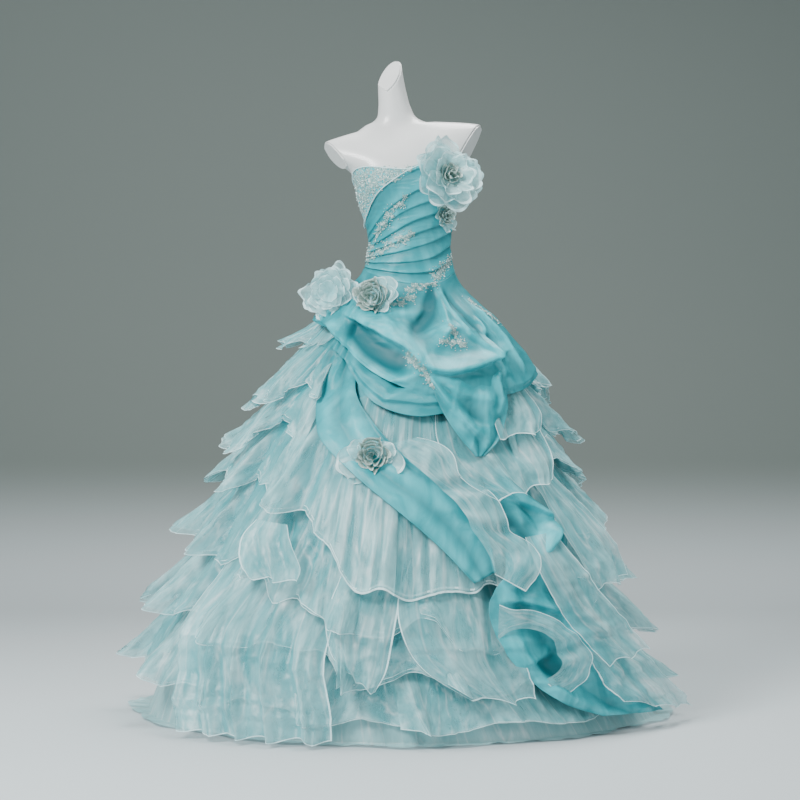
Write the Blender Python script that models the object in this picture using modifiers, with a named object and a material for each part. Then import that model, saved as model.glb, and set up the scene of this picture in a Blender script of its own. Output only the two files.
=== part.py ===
"""Strapless evening gown with a draped satin overskirt and organza ruffles, worn on a dress form.

Metres, +Z up. The origin is on the floor at the stand's pole. The gown's front faces -Y and
+X is to the right of someone who looks at the front. Angles are measured round the body from
the front (0) towards +X (positive).
"""

import math
from collections import namedtuple

import bmesh
import bpy
from mathutils import Vector

WALL = 0.002
BODICE_WALL = 0.0022
SEAM_GAP = 0.0005
WAIST_GAP = 0.0016
SEWN_GAP = 0.0005
LAYER = 0.006
FLOOR_GAP = 0.0006

POLE_RADIUS = 0.0125
BASE_RADIUS = 0.17
BASE_HEIGHT = 0.012
FORM_BOTTOM = 0.80
CAP_THICKNESS = 0.004

SATIN = ("satin", (0.17, 0.52, 0.56), 0.38)
ORGANZA = ("organza", (0.62, 0.78, 0.79), 0.45)
LACE = ("beaded_lace", (0.45, 0.68, 0.68), 0.55)
LINING = ("lining", (0.25, 0.55, 0.58), 0.6)
PETTICOAT = ("petticoat", (0.78, 0.80, 0.84), 0.6)
ROSE = ("rose_ribbon", (0.42, 0.52, 0.48), 0.5)
FORM_WHITE = ("form_white", (0.86, 0.86, 0.85), 0.3)
STAND_METAL = ("stand_metal", (0.7, 0.7, 0.72), 0.3)

Section = namedtuple("Section", "z half_width half_depth x y")

# The dress form, from the thigh up to the neck, as rings.
FORM = [
    Section(0.80, 0.146, 0.104, 0.000, 0.010),
    Section(0.90, 0.156, 0.112, 0.000, 0.010),
    Section(0.98, 0.160, 0.115, 0.000, 0.010),
    Section(1.05, 0.141, 0.105, 0.000, 0.006),
    Section(1.11, 0.114, 0.089, 0.001, 0.004),
    Section(1.16, 0.101, 0.079, 0.003, 0.003),
    Section(1.21, 0.099, 0.077, 0.004, 0.002),
    Section(1.26, 0.111, 0.084, 0.002, 0.000),
    Section(1.31, 0.125, 0.093, 0.000, -0.004),
    Section(1.35, 0.132, 0.097, -0.001, -0.005),
    Section(1.385, 0.150, 0.093, -0.004, -0.001),
    Section(1.415, 0.190, 0.085, -0.009, 0.004),
    Section(1.445, 0.222, 0.073, -0.014, 0.009),
    Section(1.468, 0.222, 0.061, -0.018, 0.012),
    Section(1.484, 0.170, 0.052, -0.021, 0.013),
    Section(1.496, 0.098, 0.046, -0.025, 0.012),
    Section(1.512, 0.056, 0.043, -0.029, 0.010),
    Section(1.54, 0.042, 0.041, -0.034, 0.007),
    Section(1.58, 0.036, 0.038, -0.040, 0.002),
    Section(1.63, 0.032, 0.036, -0.046, -0.004),
    Section(1.69, 0.030, 0.034, -0.052, -0.010),
]
SHOULDER_TILT = 0.12
SHOULDER_FROM, SHOULDER_TO = 1.36, 1.46
CUP_LIFT, CUP_Z, CUP_ANGLE = 0.013, 1.335, math.radians(34)
CUP_HIGH, CUP_WIDE = 0.042, math.radians(24)

# The flat cuts where the form's arms and head would start, from one edge of a cut to the other.
Cut = namedtuple("Cut", "name upper lower turned")
FORM_CUTS = [
    Cut("form_arm_cap_left", (-0.204, 1.452), (-0.137, 1.352), 14),
    Cut("form_arm_cap_right", (0.176, 1.492), (0.137, 1.408), 14),
    Cut("form_neck_cap", (-0.016, 1.650), (-0.070, 1.590), 38),
]
CUTTER_MARGIN, CUTTER_DEPTH, CUTTER_WIDTH = 0.05, 0.16, 0.26
FORM_CUT_Y = -0.004

# The foundation skirt, a cone that leans back as it widens to the floor.
SKIRT = [
    Section(0.00, 0.625, 0.590, -0.012, 0.105),
    Section(0.20, 0.551, 0.525, -0.039, 0.085),
    Section(0.40, 0.470, 0.445, -0.030, 0.055),
    Section(0.60, 0.392, 0.368, -0.022, 0.035),
    Section(0.80, 0.312, 0.280, -0.010, 0.020),
    Section(0.90, 0.258, 0.222, -0.004, 0.014),
    Section(1.00, 0.188, 0.153, 0.000, 0.008),
    Section(1.06, 0.146, 0.113, 0.001, 0.005),
    Section(1.12, 0.1165, 0.0925, 0.001, 0.004),
    Section(1.16, 0.1075, 0.0855, 0.003, 0.003),
]

Key = namedtuple("Key", "angle z")
NECKLINE = [
    Key(-180, 1.325), Key(-120, 1.338), Key(-88, 1.350), Key(-62, 1.376), Key(-40, 1.384),
    Key(-18, 1.377), Key(0, 1.374), Key(14, 1.386), Key(40, 1.402), Key(66, 1.402),
    Key(90, 1.380), Key(130, 1.340), Key(180, 1.325),
]
# The satin wrap's upper edge, from the left side seam up across the bust to the neckline.
WRAP_TOP = [
    Key(-88, 1.235), Key(-62, 1.262), Key(-40, 1.298), Key(-20, 1.336), Key(0, 1.369),
    Key(14, 1.385), Key(40, 1.401), Key(66, 1.401), Key(90, 1.379),
]
# The bodice's lower edge, a shallow point at the front.
BASQUE = [
    Key(-180, 1.100), Key(-90, 1.128), Key(-45, 1.108), Key(0, 1.084), Key(30, 1.086),
    Key(60, 1.108), Key(90, 1.120), Key(180, 1.100),
]
WRAP_PLEATS = 8
WRAP_PLEAT_DEPTH = 0.0032
SIDE_SEAM = math.radians(90)

# Organza ruffles: the height of the hem at eight places round the skirt.
Ruffle = namedtuple(
    "Ruffle",
    "name back back_left left front_left front front_right right back_right flare flute waves start end",
)
RUFFLES = [
    Ruffle("ruffle_1", 0.865, 0.885, 0.925, 0.93, 0.93, 0.87, 0.800, 0.820, 0.045, 0.016, 9, 62, 322),
    Ruffle("ruffle_2", 0.745, 0.765, 0.790, 0.80, 0.86, 0.74, 0.700, 0.705, 0.052, 0.019, 9, 56, 309),
    Ruffle("ruffle_3", 0.615, 0.645, 0.690, 0.70, 0.78, 0.63, 0.600, 0.600, 0.055, 0.021, 9, 52, 304),
    Ruffle("ruffle_4", 0.480, 0.530, 0.600, 0.565, 0.350, 0.375, 0.490, 0.480, 0.056, 0.022, 12, 0, 360),
    Ruffle("ruffle_5", 0.345, 0.380, 0.455, 0.400, 0.235, 0.250, 0.360, 0.345, 0.058, 0.023, 13, 0, 360),
    Ruffle("ruffle_6", 0.200, 0.240, 0.290, 0.240, 0.135, 0.150, 0.205, 0.200, 0.060, 0.024, 14, 0, 360),
    Ruffle("ruffle_7", 0.070, 0.090, 0.125, 0.095, 0.040, 0.055, 0.085, 0.080, 0.060, 0.024, 15, 0, 360),
]
RUFFLE_OVERLAP = 0.045
RUFFLE_TOP_LIFT = 0.006
RUFFLE_TOP_Z = 1.045
HEM_DIP = 0.012
LONGEST_STEP = 0.15
FLOUNCE_TOP, FLOUNCE_COLUMNS = 0.105, 55
FLOUNCE_DROP, FLOUNCE_SPREAD, FLOUNCE_TAPER = 0.026, 0.052, 0.45
FLOUNCE_WAVE, FLOUNCE_WAVES = 0.010, 11
COLUMNS_A_WAVE = 5
UNDERSKIRT_LEVELS = (1.030, 0.960, 0.880, 0.780, 0.600, 0.400, 0.200, 0.003)
CALM_FRONT, CALM_HALF_WIDTH, CALM_SHARE = math.radians(8), math.radians(38), 0.3
# A ruffle's fall: how its flare grows, its second, smaller wave and its tucked open ends.
FLARE_GROWTH, SECOND_WAVE, WAVE_PEAK = 1.15, 0.3, 1.3
TUCKED_FLARE, TUCK_SHARE = 0.018, 7
HEM_SWAY = 0.035
# What lies on the ruffles: how steeply it comes in below a hem, and how far it bridges.
BRIDGE_SLOPE, BRIDGE_EASE = 0.6, 0.3
BRIDGE_ACROSS, BRIDGE_DOWN = (-0.07, 0, 0.07), (-0.03, 0, 0.03, 0.06)


# The satin overskirt's lower edge, picked up at the left hip and sagging to the right.
OVERSKIRT_HEM = [
    Key(-74, 1.000), Key(-58, 0.985), Key(-44, 0.965), Key(-30, 0.915), Key(-15, 0.865),
    Key(0, 0.825), Key(12, 0.798), Key(24, 0.790), Key(40, 0.800), Key(58, 0.822), Key(76, 0.862),
]
SWAG_HEM = [
    Key(-40, 0.925), Key(-32, 0.893), Key(-24, 0.850), Key(-11, 0.787), Key(4, 0.758),
    Key(16, 0.765), Key(26, 0.780), Key(36, 0.785),
]
OVERSKIRT_SEAT = WALL + 0.0015
OVERSKIRT_FOLDS, OVERSKIRT_FOLD_DEPTH, OVERSKIRT_PUFF = 4, 0.012, 0.012
SWAG_FOLDS, SWAG_FOLD_DEPTH = 2, 0.010

# Satin panels that hang from the overskirt: two edges in degrees and height, and the fold depth.
Span = namedtuple("Span", "at a1 z1 a2 z2 lift depth")
LEAF_PANEL = [
    Span(0, -44, 0.950, -27, 0.905, -0.0012, 0.000),
    Span(1, -43, 0.880, -22, 0.820, 0.001, 0.004),
    Span(2, -40, 0.800, -12, 0.750, 0.004, 0.008),
    Span(3, -30, 0.710, -3, 0.690, 0.006, 0.008),
    Span(4, -15, 0.625, 5, 0.640, 0.006, 0.008),
    Span(5, 0, 0.535, 16, 0.585, 0.006, 0.007),
    Span(6, 11, 0.452, 24, 0.500, 0.006, 0.006),
    Span(7, 19, 0.368, 25, 0.392, 0.005, 0.002),
]
RIGHT_PANEL = [
    Span(0, 8, 0.870, 57, 0.860, 0.0038, 0.000),
    Span(1, 12, 0.800, 51, 0.800, 0.0048, 0.003),
    Span(2, 16, 0.730, 43, 0.742, 0.006, 0.008),
    Span(3, 24, 0.668, 31, 0.672, 0.008, 0.002),
]
CASCADE = [
    Span(0, 22, 0.648, 37, 0.640, -0.005, 0.004),
    Span(1, 28, 0.557, 46, 0.550, -0.003, 0.016),
    Span(2, 31, 0.462, 48, 0.458, -0.003, 0.020),
    Span(3, 29, 0.375, 46, 0.364, -0.003, 0.020),
    Span(4, 25, 0.285, 54, 0.270, -0.003, 0.022),
    Span(5, 26, 0.211, 54, 0.180, -0.003, 0.022),
    Span(6, 31, 0.135, 57, 0.098, -0.003, 0.018),
    Span(7, 42, 0.060, 62, 0.046, -0.003, 0.008),
]

# Flowers: where the centre sits (degrees, height, how far off the cloth), size and petals.
Bloom = namedtuple("Bloom", "name on angle z seat radius height petals frill tilt_up tilt_side kind")
BLOOMS = [
    Bloom("shoulder_flower", "body", 36, 1.352, -0.0004, 0.088, 0.062, 7, 0.012, 8, -8, ORGANZA),
    Bloom("shoulder_rose", "body", 44, 1.262, 0.0008, 0.027, 0.026, 6, 0.003, 0, 0, ROSE),
    Bloom("hip_flower", "skirt", -61, 1.061, 0.0721, 0.067, 0.052, 7, 0.010, 10, 24, ORGANZA),
    Bloom("hip_rose", "skirt", -25, 1.050, 0.0481, 0.052, 0.036, 6, 0.006, 8, 0, ROSE),
    Bloom("skirt_rose", "skirt", -9, 0.665, 0.0236, 0.041, 0.032, 6, 0.004, 0, 0, ROSE),
]
# A flower's section from its heart over two rows of petals and round to the back.
Ply = namedtuple("Ply", "radius height lobe")
BLOOM_SECTION = [
    Ply(0.08, 0.98, 0.0), Ply(0.18, 1.00, 0.1), Ply(0.27, 0.72, 0.2), Ply(0.48, 0.98, 0.6),
    Ply(0.53, 0.93, 0.6), Ply(0.46, 0.56, 0.3), Ply(0.74, 0.68, 0.8), Ply(1.00, 0.80, 1.0),
    Ply(1.00, 0.75, 1.0), Ply(0.50, 0.16, 0.3), Ply(0.28, 0.00, 0.0), Ply(0.10, 0.00, 0.0),
]
BLOOM_LOBE = 0.11


def smooth(t):
    """0 to 1, easing in and out."""
    t = min(1.0, max(0.0, t))
    return t * t * (3 - 2 * t)


def mix(a, b, t):
    return a + (b - a) * t


def along(rows, at, column, key):
    """A smooth curve through the rows: the column's value where the key has the value at."""
    n = len(rows)
    i = 0
    while i < n - 2 and at > getattr(rows[i + 1], key):
        i += 1
    k0, k1 = getattr(rows[i], key), getattr(rows[i + 1], key)
    v0, v1 = getattr(rows[i], column), getattr(rows[i + 1], column)
    before, after = rows[max(i - 1, 0)], rows[min(i + 2, n - 1)]
    m0 = (v1 - getattr(before, column)) / (k1 - getattr(before, key)) * (k1 - k0)
    m1 = (getattr(after, column) - v0) / (getattr(after, key) - k0) * (k1 - k0)
    t = min(1.0, max(0.0, (at - k0) / (k1 - k0)))
    return (
        (2 * t**3 - 3 * t**2 + 1) * v0 + (t**3 - 2 * t**2 + t) * m0
        + (3 * t**2 - 2 * t**3) * v1 + (t**3 - t**2) * m1
    )


def edge_z(keys, theta):
    """The height of an edge that is given by keys in degrees."""
    return along(keys, math.degrees(theta), "z", "angle")


def ring_point(rows, theta, z, lift):
    """A point of a lofted body at this angle and height, moved out by lift."""
    half_width = along(rows, z, "half_width", "z") + lift
    half_depth = along(rows, z, "half_depth", "z") + lift
    x = along(rows, z, "x", "z") + half_width * math.sin(theta)
    y = along(rows, z, "y", "z") - half_depth * math.cos(theta)
    return Vector((x, y, z))


def cup_lift(theta, z):
    """How far the two cups stand forward of the plain rings."""
    high = math.exp(-(((z - CUP_Z) / CUP_HIGH) ** 2))
    return sum(
        CUP_LIFT * high * math.exp(-(((theta - side * CUP_ANGLE) / CUP_WIDE) ** 2))
        for side in (-1, 1)
    )


def body_point(theta, z, lift):
    """A point on the dress form, or on what is worn on it at this lift."""
    turn = math.remainder(theta, 2 * math.pi)
    point = ring_point(FORM, turn, z, lift + cup_lift(turn, z))
    share = smooth((z - SHOULDER_FROM) / (SHOULDER_TO - SHOULDER_FROM))
    point.z += SHOULDER_TILT * share * (point.x + 0.014) * (1.0 if z < 1.5 else 0.3)
    return point


def skirt_point(theta, z, lift):
    return ring_point(SKIRT, theta, z, lift)


def foundation_levels(theta):
    """The heights of the underskirt's rows of points, from under the bodice to the floor."""
    top = edge_z(BASQUE, math.remainder(theta, 2 * math.pi)) - WAIST_GAP
    return (top, *UNDERSKIRT_LEVELS)


def sewn_point(theta, z, columns):
    """A point of a cloth edge that is sewn on the underskirt: it clears its straight facets."""
    levels = foundation_levels(theta)
    high, low = next(pair for pair in zip(levels, levels[1:]) if z >= pair[1])
    facet = 1.7 * along(SKIRT, z, "half_width", "z") * (1 - math.cos(math.pi / columns))
    lift = WALL + SEWN_GAP + facet
    t = (high - z) / (high - low)
    return skirt_point(theta, high, lift).lerp(skirt_point(theta, low, lift), t)


def material(kind):
    name, colour, roughness = kind
    found = bpy.data.materials.get(name)
    if found:
        return found
    made = bpy.data.materials.new(name)
    made.use_nodes = True
    shader = made.node_tree.nodes["Principled BSDF"]
    shader.inputs["Base Color"].default_value = (*colour, 1)
    shader.inputs["Roughness"].default_value = roughness
    shader.inputs["Metallic"].default_value = 0.8 if kind is STAND_METAL else 0.0
    return made


def add_object(name, mesh, kind, crease=40):
    mesh.shade_smooth()
    mesh.set_sharp_from_angle(angle=math.radians(crease))
    made = bpy.data.objects.new(name, mesh)
    made.data.materials.append(material(kind))
    gown.objects.link(made)
    return made


def finish_mesh(name, bm):
    mesh = bpy.data.meshes.new(name)
    bm.to_mesh(mesh)
    bm.free()
    return mesh


def sheet(name, columns, rows, place, kind, wall=WALL, closed=False, outward=None):
    """A cloth wall. place(u, v) gives its outer face; u runs round the body and v runs down."""
    bm = bmesh.new()
    bmesh.ops.create_grid(bm, x_segments=columns, y_segments=rows, size=0.5)
    for vert in bm.verts:
        vert.co = place(vert.co.x + 0.5, 0.5 - vert.co.y)
    if closed:
        bmesh.ops.remove_doubles(bm, verts=bm.verts, dist=1e-5)
    bm.normal_update()
    out = outward or (lambda middle: Vector((middle.x, middle.y - 0.03, 0)))
    if sum(f.normal.dot(out(f.calc_center_median())) * f.calc_area() for f in bm.faces) < 0:
        bmesh.ops.reverse_faces(bm, faces=bm.faces)
    made = add_object(name, finish_mesh(name, bm), kind)
    thicken = made.modifiers.new("wall", "SOLIDIFY")
    thicken.thickness = wall
    thicken.offset = -1
    return made


def apply_modifiers(made):
    graph = bpy.context.evaluated_depsgraph_get()
    mesh = bpy.data.meshes.new_from_object(made.evaluated_get(graph))
    made.modifiers.clear()
    made.data = mesh


# Dress form and stand.


def loft_rings(rings):
    """One closed skin through rings of points, with flat ends."""
    bm = bmesh.new()
    loops = [[bm.verts.new(p) for p in ring] for ring in rings]
    for low, high in zip(loops, loops[1:]):
        for i in range(len(low)):
            j = (i + 1) % len(low)
            bm.faces.new((low[i], low[j], high[j], high[i]))
    bm.faces.new(list(reversed(loops[0])))
    bm.faces.new(loops[-1])
    return bm


def cut_facing(cut):
    """The direction that a cut looks in: out of the body and turned a little to the front."""
    run = Vector((cut.lower[0] - cut.upper[0], 0, cut.lower[1] - cut.upper[1])).normalized()
    across = Vector((run.z, 0, -run.x))
    if across.dot(Vector((cut.upper[0], 0, cut.upper[1] - 1.4))) < 0:
        across.negate()
    turned = math.radians(cut.turned)
    return run, across * math.cos(turned) + Vector((0, -1, 0)) * math.sin(turned)


def add_form():
    columns = 28
    turns = [2 * math.pi * i / columns for i in range(columns)]
    bm = loft_rings([[body_point(t, row.z, 0) for t in turns] for row in FORM])
    bmesh.ops.recalc_face_normals(bm, faces=bm.faces)
    form = add_object("form_torso", finish_mesh("form_torso", bm), FORM_WHITE, crease=50)
    for cut in FORM_CUTS:
        run, facing = cut_facing(cut)
        middle = Vector((
            (cut.upper[0] + cut.lower[0]) / 2, FORM_CUT_Y, (cut.upper[1] + cut.lower[1]) / 2
        ))
        carve(form, run, facing, middle, math.dist(cut.upper, cut.lower))
        flat = max(
            (p for p in form.data.polygons if p.normal.dot(facing) > 0.999), key=lambda p: p.area
        )
        outline = [form.data.vertices[i].co.copy() for i in flat.vertices]
        add_cap(cut.name, facing, outline)


def carve(form, run, facing, middle, length):
    """Takes off what stands beyond a cut, with a box whose inner face is the cut."""
    bm = bmesh.new()
    bmesh.ops.create_cube(bm, size=1)
    side = facing.cross(run).normalized()
    run = side.cross(facing).normalized()
    spread = (CUTTER_DEPTH, length + CUTTER_MARGIN, CUTTER_WIDTH)
    for vert in bm.verts:
        out, down, wide = (c * size for c, size in zip(vert.co, spread))
        along_run = down - CUTTER_MARGIN / 2
        vert.co = middle + facing * (out + CUTTER_DEPTH / 2) + run * along_run + side * wide
    bm.normal_update()
    bmesh.ops.recalc_face_normals(bm, faces=bm.faces)
    cutter = bpy.data.objects.new("cutter", finish_mesh("cutter", bm))
    gown.objects.link(cutter)
    cut = form.modifiers.new("cut", "BOOLEAN")
    cut.operation = "DIFFERENCE"
    cut.solver = "EXACT"
    cut.object = cutter
    apply_modifiers(form)
    bpy.data.objects.remove(cutter)


def add_cap(name, facing, outline):
    """The thin oval plate that closes a cut of the form."""
    middle = sum(outline, Vector()) / len(outline)
    inset = 0.93
    bm = bmesh.new()
    seat = facing * SEAM_GAP
    face = bm.faces.new([bm.verts.new(middle + (p - middle) * inset + seat) for p in outline])
    if face.normal.dot(facing) < 0:
        face.normal_flip()
    raised = bmesh.ops.extrude_face_region(bm, geom=[face])
    tops = [v for v in raised["geom"] if isinstance(v, bmesh.types.BMVert)]
    bmesh.ops.translate(bm, verts=tops, vec=facing * CAP_THICKNESS)
    bmesh.ops.recalc_face_normals(bm, faces=bm.faces)
    add_object(name, finish_mesh(name, bm), FORM_WHITE)


def add_post(name, low, high, radius, sides, kind):
    bm = bmesh.new()
    bmesh.ops.create_cone(
        bm, cap_ends=True, segments=sides, radius1=radius, radius2=radius, depth=high - low
    )
    bmesh.ops.translate(bm, verts=bm.verts, vec=(0, 0, (low + high) / 2))
    return add_object(name, finish_mesh(name, bm), kind)


def add_stand():
    base = add_post("stand_base", 0, BASE_HEIGHT, BASE_RADIUS, 28, STAND_METAL)
    chamfer = base.modifiers.new("edge", "BEVEL")
    chamfer.width = 0.003
    chamfer.segments = 1
    chamfer.limit_method = "ANGLE"
    add_post(
        "stand_pole", BASE_HEIGHT + SEAM_GAP, FORM_BOTTOM - SEAM_GAP, POLE_RADIUS, 16, STAND_METAL
    )


# Bodice.

BODICE_LIFT = 0.0034 + BODICE_WALL


def bodice_front_point(top, bottom, pleats, depth):
    def place(u, v):
        theta = mix(-SIDE_SEAM, SIDE_SEAM, u) * 0.996
        z = mix(edge_z(top, theta), edge_z(bottom, theta), v)
        fade = smooth(min(u, 1 - u) * 6 + 0.25)
        pleat = depth * fade * (0.5 + 0.5 * math.cos(2 * math.pi * pleats * v))
        return body_point(theta, z, BODICE_LIFT + pleat)
    return place


def add_bodice():
    columns = 16
    sheet(
        "bodice_wrap", columns, 3 * WRAP_PLEATS,
        bodice_front_point(WRAP_TOP, BASQUE, WRAP_PLEATS, WRAP_PLEAT_DEPTH), SATIN, BODICE_WALL,
    )
    cup_columns = 9
    cup_end = mix(-SIDE_SEAM, SIDE_SEAM, cup_columns / columns) * 0.996

    def lace_cup(u, v):
        theta = mix(-SIDE_SEAM * 0.996, cup_end, u)
        low = edge_z(WRAP_TOP, theta) + 0.0022
        high = max(edge_z(NECKLINE, theta), low + 0.002)
        return body_point(theta, mix(high, low, v), BODICE_LIFT)

    sheet("bodice_cup", cup_columns, 6, lace_cup, LACE, BODICE_WALL)
    zip_half = math.radians(3.2)
    for side, name in ((-1, "bodice_back_left"), (1, "bodice_back_right")):

        def back(u, v, side=side):
            theta = side * mix(SIDE_SEAM * 1.004, math.pi - zip_half, u)
            z = mix(edge_z(NECKLINE, theta), edge_z(BASQUE, theta), v)
            return body_point(theta, z, BODICE_LIFT)

        sheet(name, 9, 5, back, SATIN, BODICE_WALL)

    def zip_strip(u, v):
        theta = math.pi + mix(-zip_half, zip_half, u) * 0.93
        z = mix(edge_z(NECKLINE, math.pi), edge_z(BASQUE, math.pi), v)
        return body_point(theta, z, BODICE_LIFT)

    sheet("back_zip", 2, 5, zip_strip, SATIN, BODICE_WALL)


# Foundation skirt and organza ruffles.


def ruffle_hem(row, theta):
    """The hem's height round the skirt, a smooth closed curve through eight places."""
    around = [
        row.front, row.front_right, row.right, row.back_right,
        row.back, row.back_left, row.left, row.front_left,
    ]
    place = (math.degrees(theta) % 360) / 45
    i = int(place) % 8
    t = place - int(place)
    p0, p1, p2, p3 = (around[(i + k) % 8] for k in (-1, 0, 1, 2))
    return p1 + 0.5 * t * (p2 - p0 + t * (2 * p0 - 5 * p1 + 4 * p2 - p3 + t * (3 * (p1 - p2) + p3 - p0)))


def calm(theta):
    """How strongly a ruffle flutes: less at the front, where the overlays lie on it."""
    off = abs(math.remainder(theta - CALM_FRONT, 2 * math.pi))
    return mix(CALM_SHARE, 1.0, smooth((off / CALM_HALF_WIDTH - 0.55) / 0.9))


def ruffle_lift(row, phase, theta, fall):
    """How far the ruffle stands off the cone at this share of its fall."""
    wave = math.sin(phase) + SECOND_WAVE * math.sin(2 * phase + 0.8 * row.waves)
    spread = row.flare * fall**FLARE_GROWTH
    return RUFFLE_TOP_LIFT + WALL + spread + row.flute * calm(theta) * fall * wave


def ruffle_point(index):
    row = RUFFLES[index]
    above = RUFFLES[index - 1] if index else None
    first, last = math.radians(row.start), math.radians(row.end)
    open_ends = row.end - row.start < 360

    def place(u, v):
        theta = mix(first, last, u)
        phase = 2 * math.pi * row.waves * u + index
        theta += HEM_SWAY * math.sin(phase + 1.2) * v * (0 < u < 1)
        hem = ruffle_hem(row, theta)
        top = ruffle_hem(above, theta) + RUFFLE_OVERLAP if above else RUFFLE_TOP_Z
        if v == 0:
            return sewn_point(theta, top, COLUMNS_A_WAVE * row.waves)
        tuck = smooth(min(u, 1 - u) * TUCK_SHARE) if open_ends else 1.0
        lift = ruffle_lift(row, phase, theta, v)
        lift = mix(RUFFLE_TOP_LIFT + WALL + TUCKED_FLARE * v, lift, tuck)
        dip = HEM_DIP * math.cos(phase + 0.5) * v * calm(theta)
        return skirt_point(theta, mix(top, hem, v) + dip * (0.3 if hem < 0.1 else 1.0), lift)

    return place


def add_skirt():
    def foundation(u, v):
        theta = 2 * math.pi * u
        step = round(v * len(UNDERSKIRT_LEVELS))
        return skirt_point(theta, foundation_levels(theta)[step], 0)

    sheet("underskirt", 44, len(UNDERSKIRT_LEVELS), foundation, LINING, closed=True)
    for index, row in enumerate(RUFFLES):
        closed = row.end - row.start == 360
        above = RUFFLES[index - 1].front if index else RUFFLE_TOP_Z
        steps = max(2, round((above - row.front) / LONGEST_STEP))
        columns = COLUMNS_A_WAVE * row.waves
        sheet(row.name, columns, steps, ruffle_point(index), ORGANZA, closed=closed)
    sheet("floor_flounce", FLOUNCE_COLUMNS, 3, floor_flounce, PETTICOAT, closed=True)


def floor_flounce(u, v):
    """The widest layer: it drops from under the last ruffle and lies out on the floor."""
    theta = 2 * math.pi * u
    if v == 0:
        return sewn_point(theta, FLOUNCE_TOP, FLOUNCE_COLUMNS)
    lie = smooth((v - 0.62) / 0.38)
    corner = 1 - FLOUNCE_TAPER * abs(math.sin(2 * theta)) * (math.cos(theta) > 0)
    wave = FLOUNCE_WAVE * math.sin(FLOUNCE_WAVES * theta + 0.6)
    lift = FLOUNCE_DROP * smooth(v * 1.6) + (FLOUNCE_SPREAD * corner + wave) * lie
    return skirt_point(theta, mix(FLOUNCE_TOP, FLOOR_GAP + WALL, smooth(v * 1.5)), lift)


# Satin overskirt and the panels that hang from it.


def cover(theta, z):
    """How far out a piece has to lie at this place to clear every ruffle, hems included."""
    most = 0.0
    for index, row in enumerate(RUFFLES):
        turn = math.degrees(theta) % 360
        share = 1.0
        if row.end - row.start < 360:
            if not row.start <= turn <= row.end:
                continue
            run = (turn - row.start) / (row.end - row.start)
            share = smooth(min(run, 1 - run) * TUCK_SHARE)
        hem = ruffle_hem(row, theta) - HEM_DIP * calm(theta)
        top = ruffle_hem(RUFFLES[index - 1], theta) + RUFFLE_OVERLAP if index else RUFFLE_TOP_Z
        fall = min(1.0, (top + 0.006 - z) / (top - hem))
        if fall <= 0:
            continue
        fluted = row.flare * fall**FLARE_GROWTH + WAVE_PEAK * row.flute * calm(theta) * fall
        lift = RUFFLE_TOP_LIFT + WALL + mix(TUCKED_FLARE * fall, fluted, share)
        most = max(most, lift - BRIDGE_SLOPE * max(0.0, hem - z))
    return most


def smooth_cover(theta, z):
    """The same, eased over a hand's width, as cloth bridges the steps beneath it."""
    around = [
        cover(theta + across, z + along_z)
        for across in BRIDGE_ACROSS for along_z in BRIDGE_DOWN
    ]
    eased = sum(around) / len(around) + BRIDGE_EASE * (max(around) - min(around))
    return max(cover(theta, z), eased)


def overskirt_point(u, v):
    theta = math.radians(mix(-74, 76, u))
    top = edge_z(BASQUE, theta) - WAIST_GAP
    hem = edge_z(OVERSKIRT_HEM, theta)
    z = mix(top, hem, v**0.92)
    side = smooth(min(u, 1 - u) * 5)
    hang = smooth(v * 3.5)
    fold = OVERSKIRT_FOLD_DEPTH * (0.5 - 0.5 * math.cos(2 * math.pi * OVERSKIRT_FOLDS * v))
    puff = OVERSKIRT_PUFF * math.sin(math.pi * min(1, v)) * side
    under = smooth_cover(theta, z) * hang + 4 * LAYER * smooth(v * 1.8)
    return skirt_point(theta, z, OVERSKIRT_SEAT + under + (fold * (0.35 + 0.65 * side) + puff) * hang)


def swag_point(u, v):
    theta = math.radians(mix(-40, 36, u))
    top = edge_z(OVERSKIRT_HEM, theta) + 0.035
    z = mix(top, edge_z(SWAG_HEM, theta), v)
    shown = smooth((v - 0.45) * 2.5) * smooth(min(u, 1 - u) * 6)
    fold = SWAG_FOLD_DEPTH * (0.5 - 0.5 * math.cos(2 * math.pi * SWAG_FOLDS * v))
    return skirt_point(theta, z, smooth_cover(theta, z) + 3.1 * LAYER + fold * shown)


def panel_point(rows, folds):
    """A panel between two edges that are given row by row, folded along its length."""
    def place(u, v):
        at = v * rows[-1].at
        a1, z1, a2, z2, lift, depth = (
            along(rows, at, column, "at") for column in ("a1", "z1", "a2", "z2", "lift", "depth")
        )
        theta, z = math.radians(mix(a1, a2, u)), mix(z1, z2, u)
        wave = 0.5 - 0.5 * math.cos(2 * math.pi * folds * u)
        return skirt_point(theta, z, smooth_cover(theta, z) + LAYER + lift + depth * wave)
    return place


def add_overskirt():
    sheet("overskirt", 20, 12, overskirt_point, SATIN)
    sheet("overskirt_swag", 14, 6, swag_point, SATIN)
    sheet("leaf_panel", 6, 14, panel_point(LEAF_PANEL, 2), SATIN)
    sheet("right_panel", 9, 6, panel_point(RIGHT_PANEL, 2), SATIN)
    sheet("satin_cascade", 12, 11, panel_point(CASCADE, 3), SATIN)


# Flowers.


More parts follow.
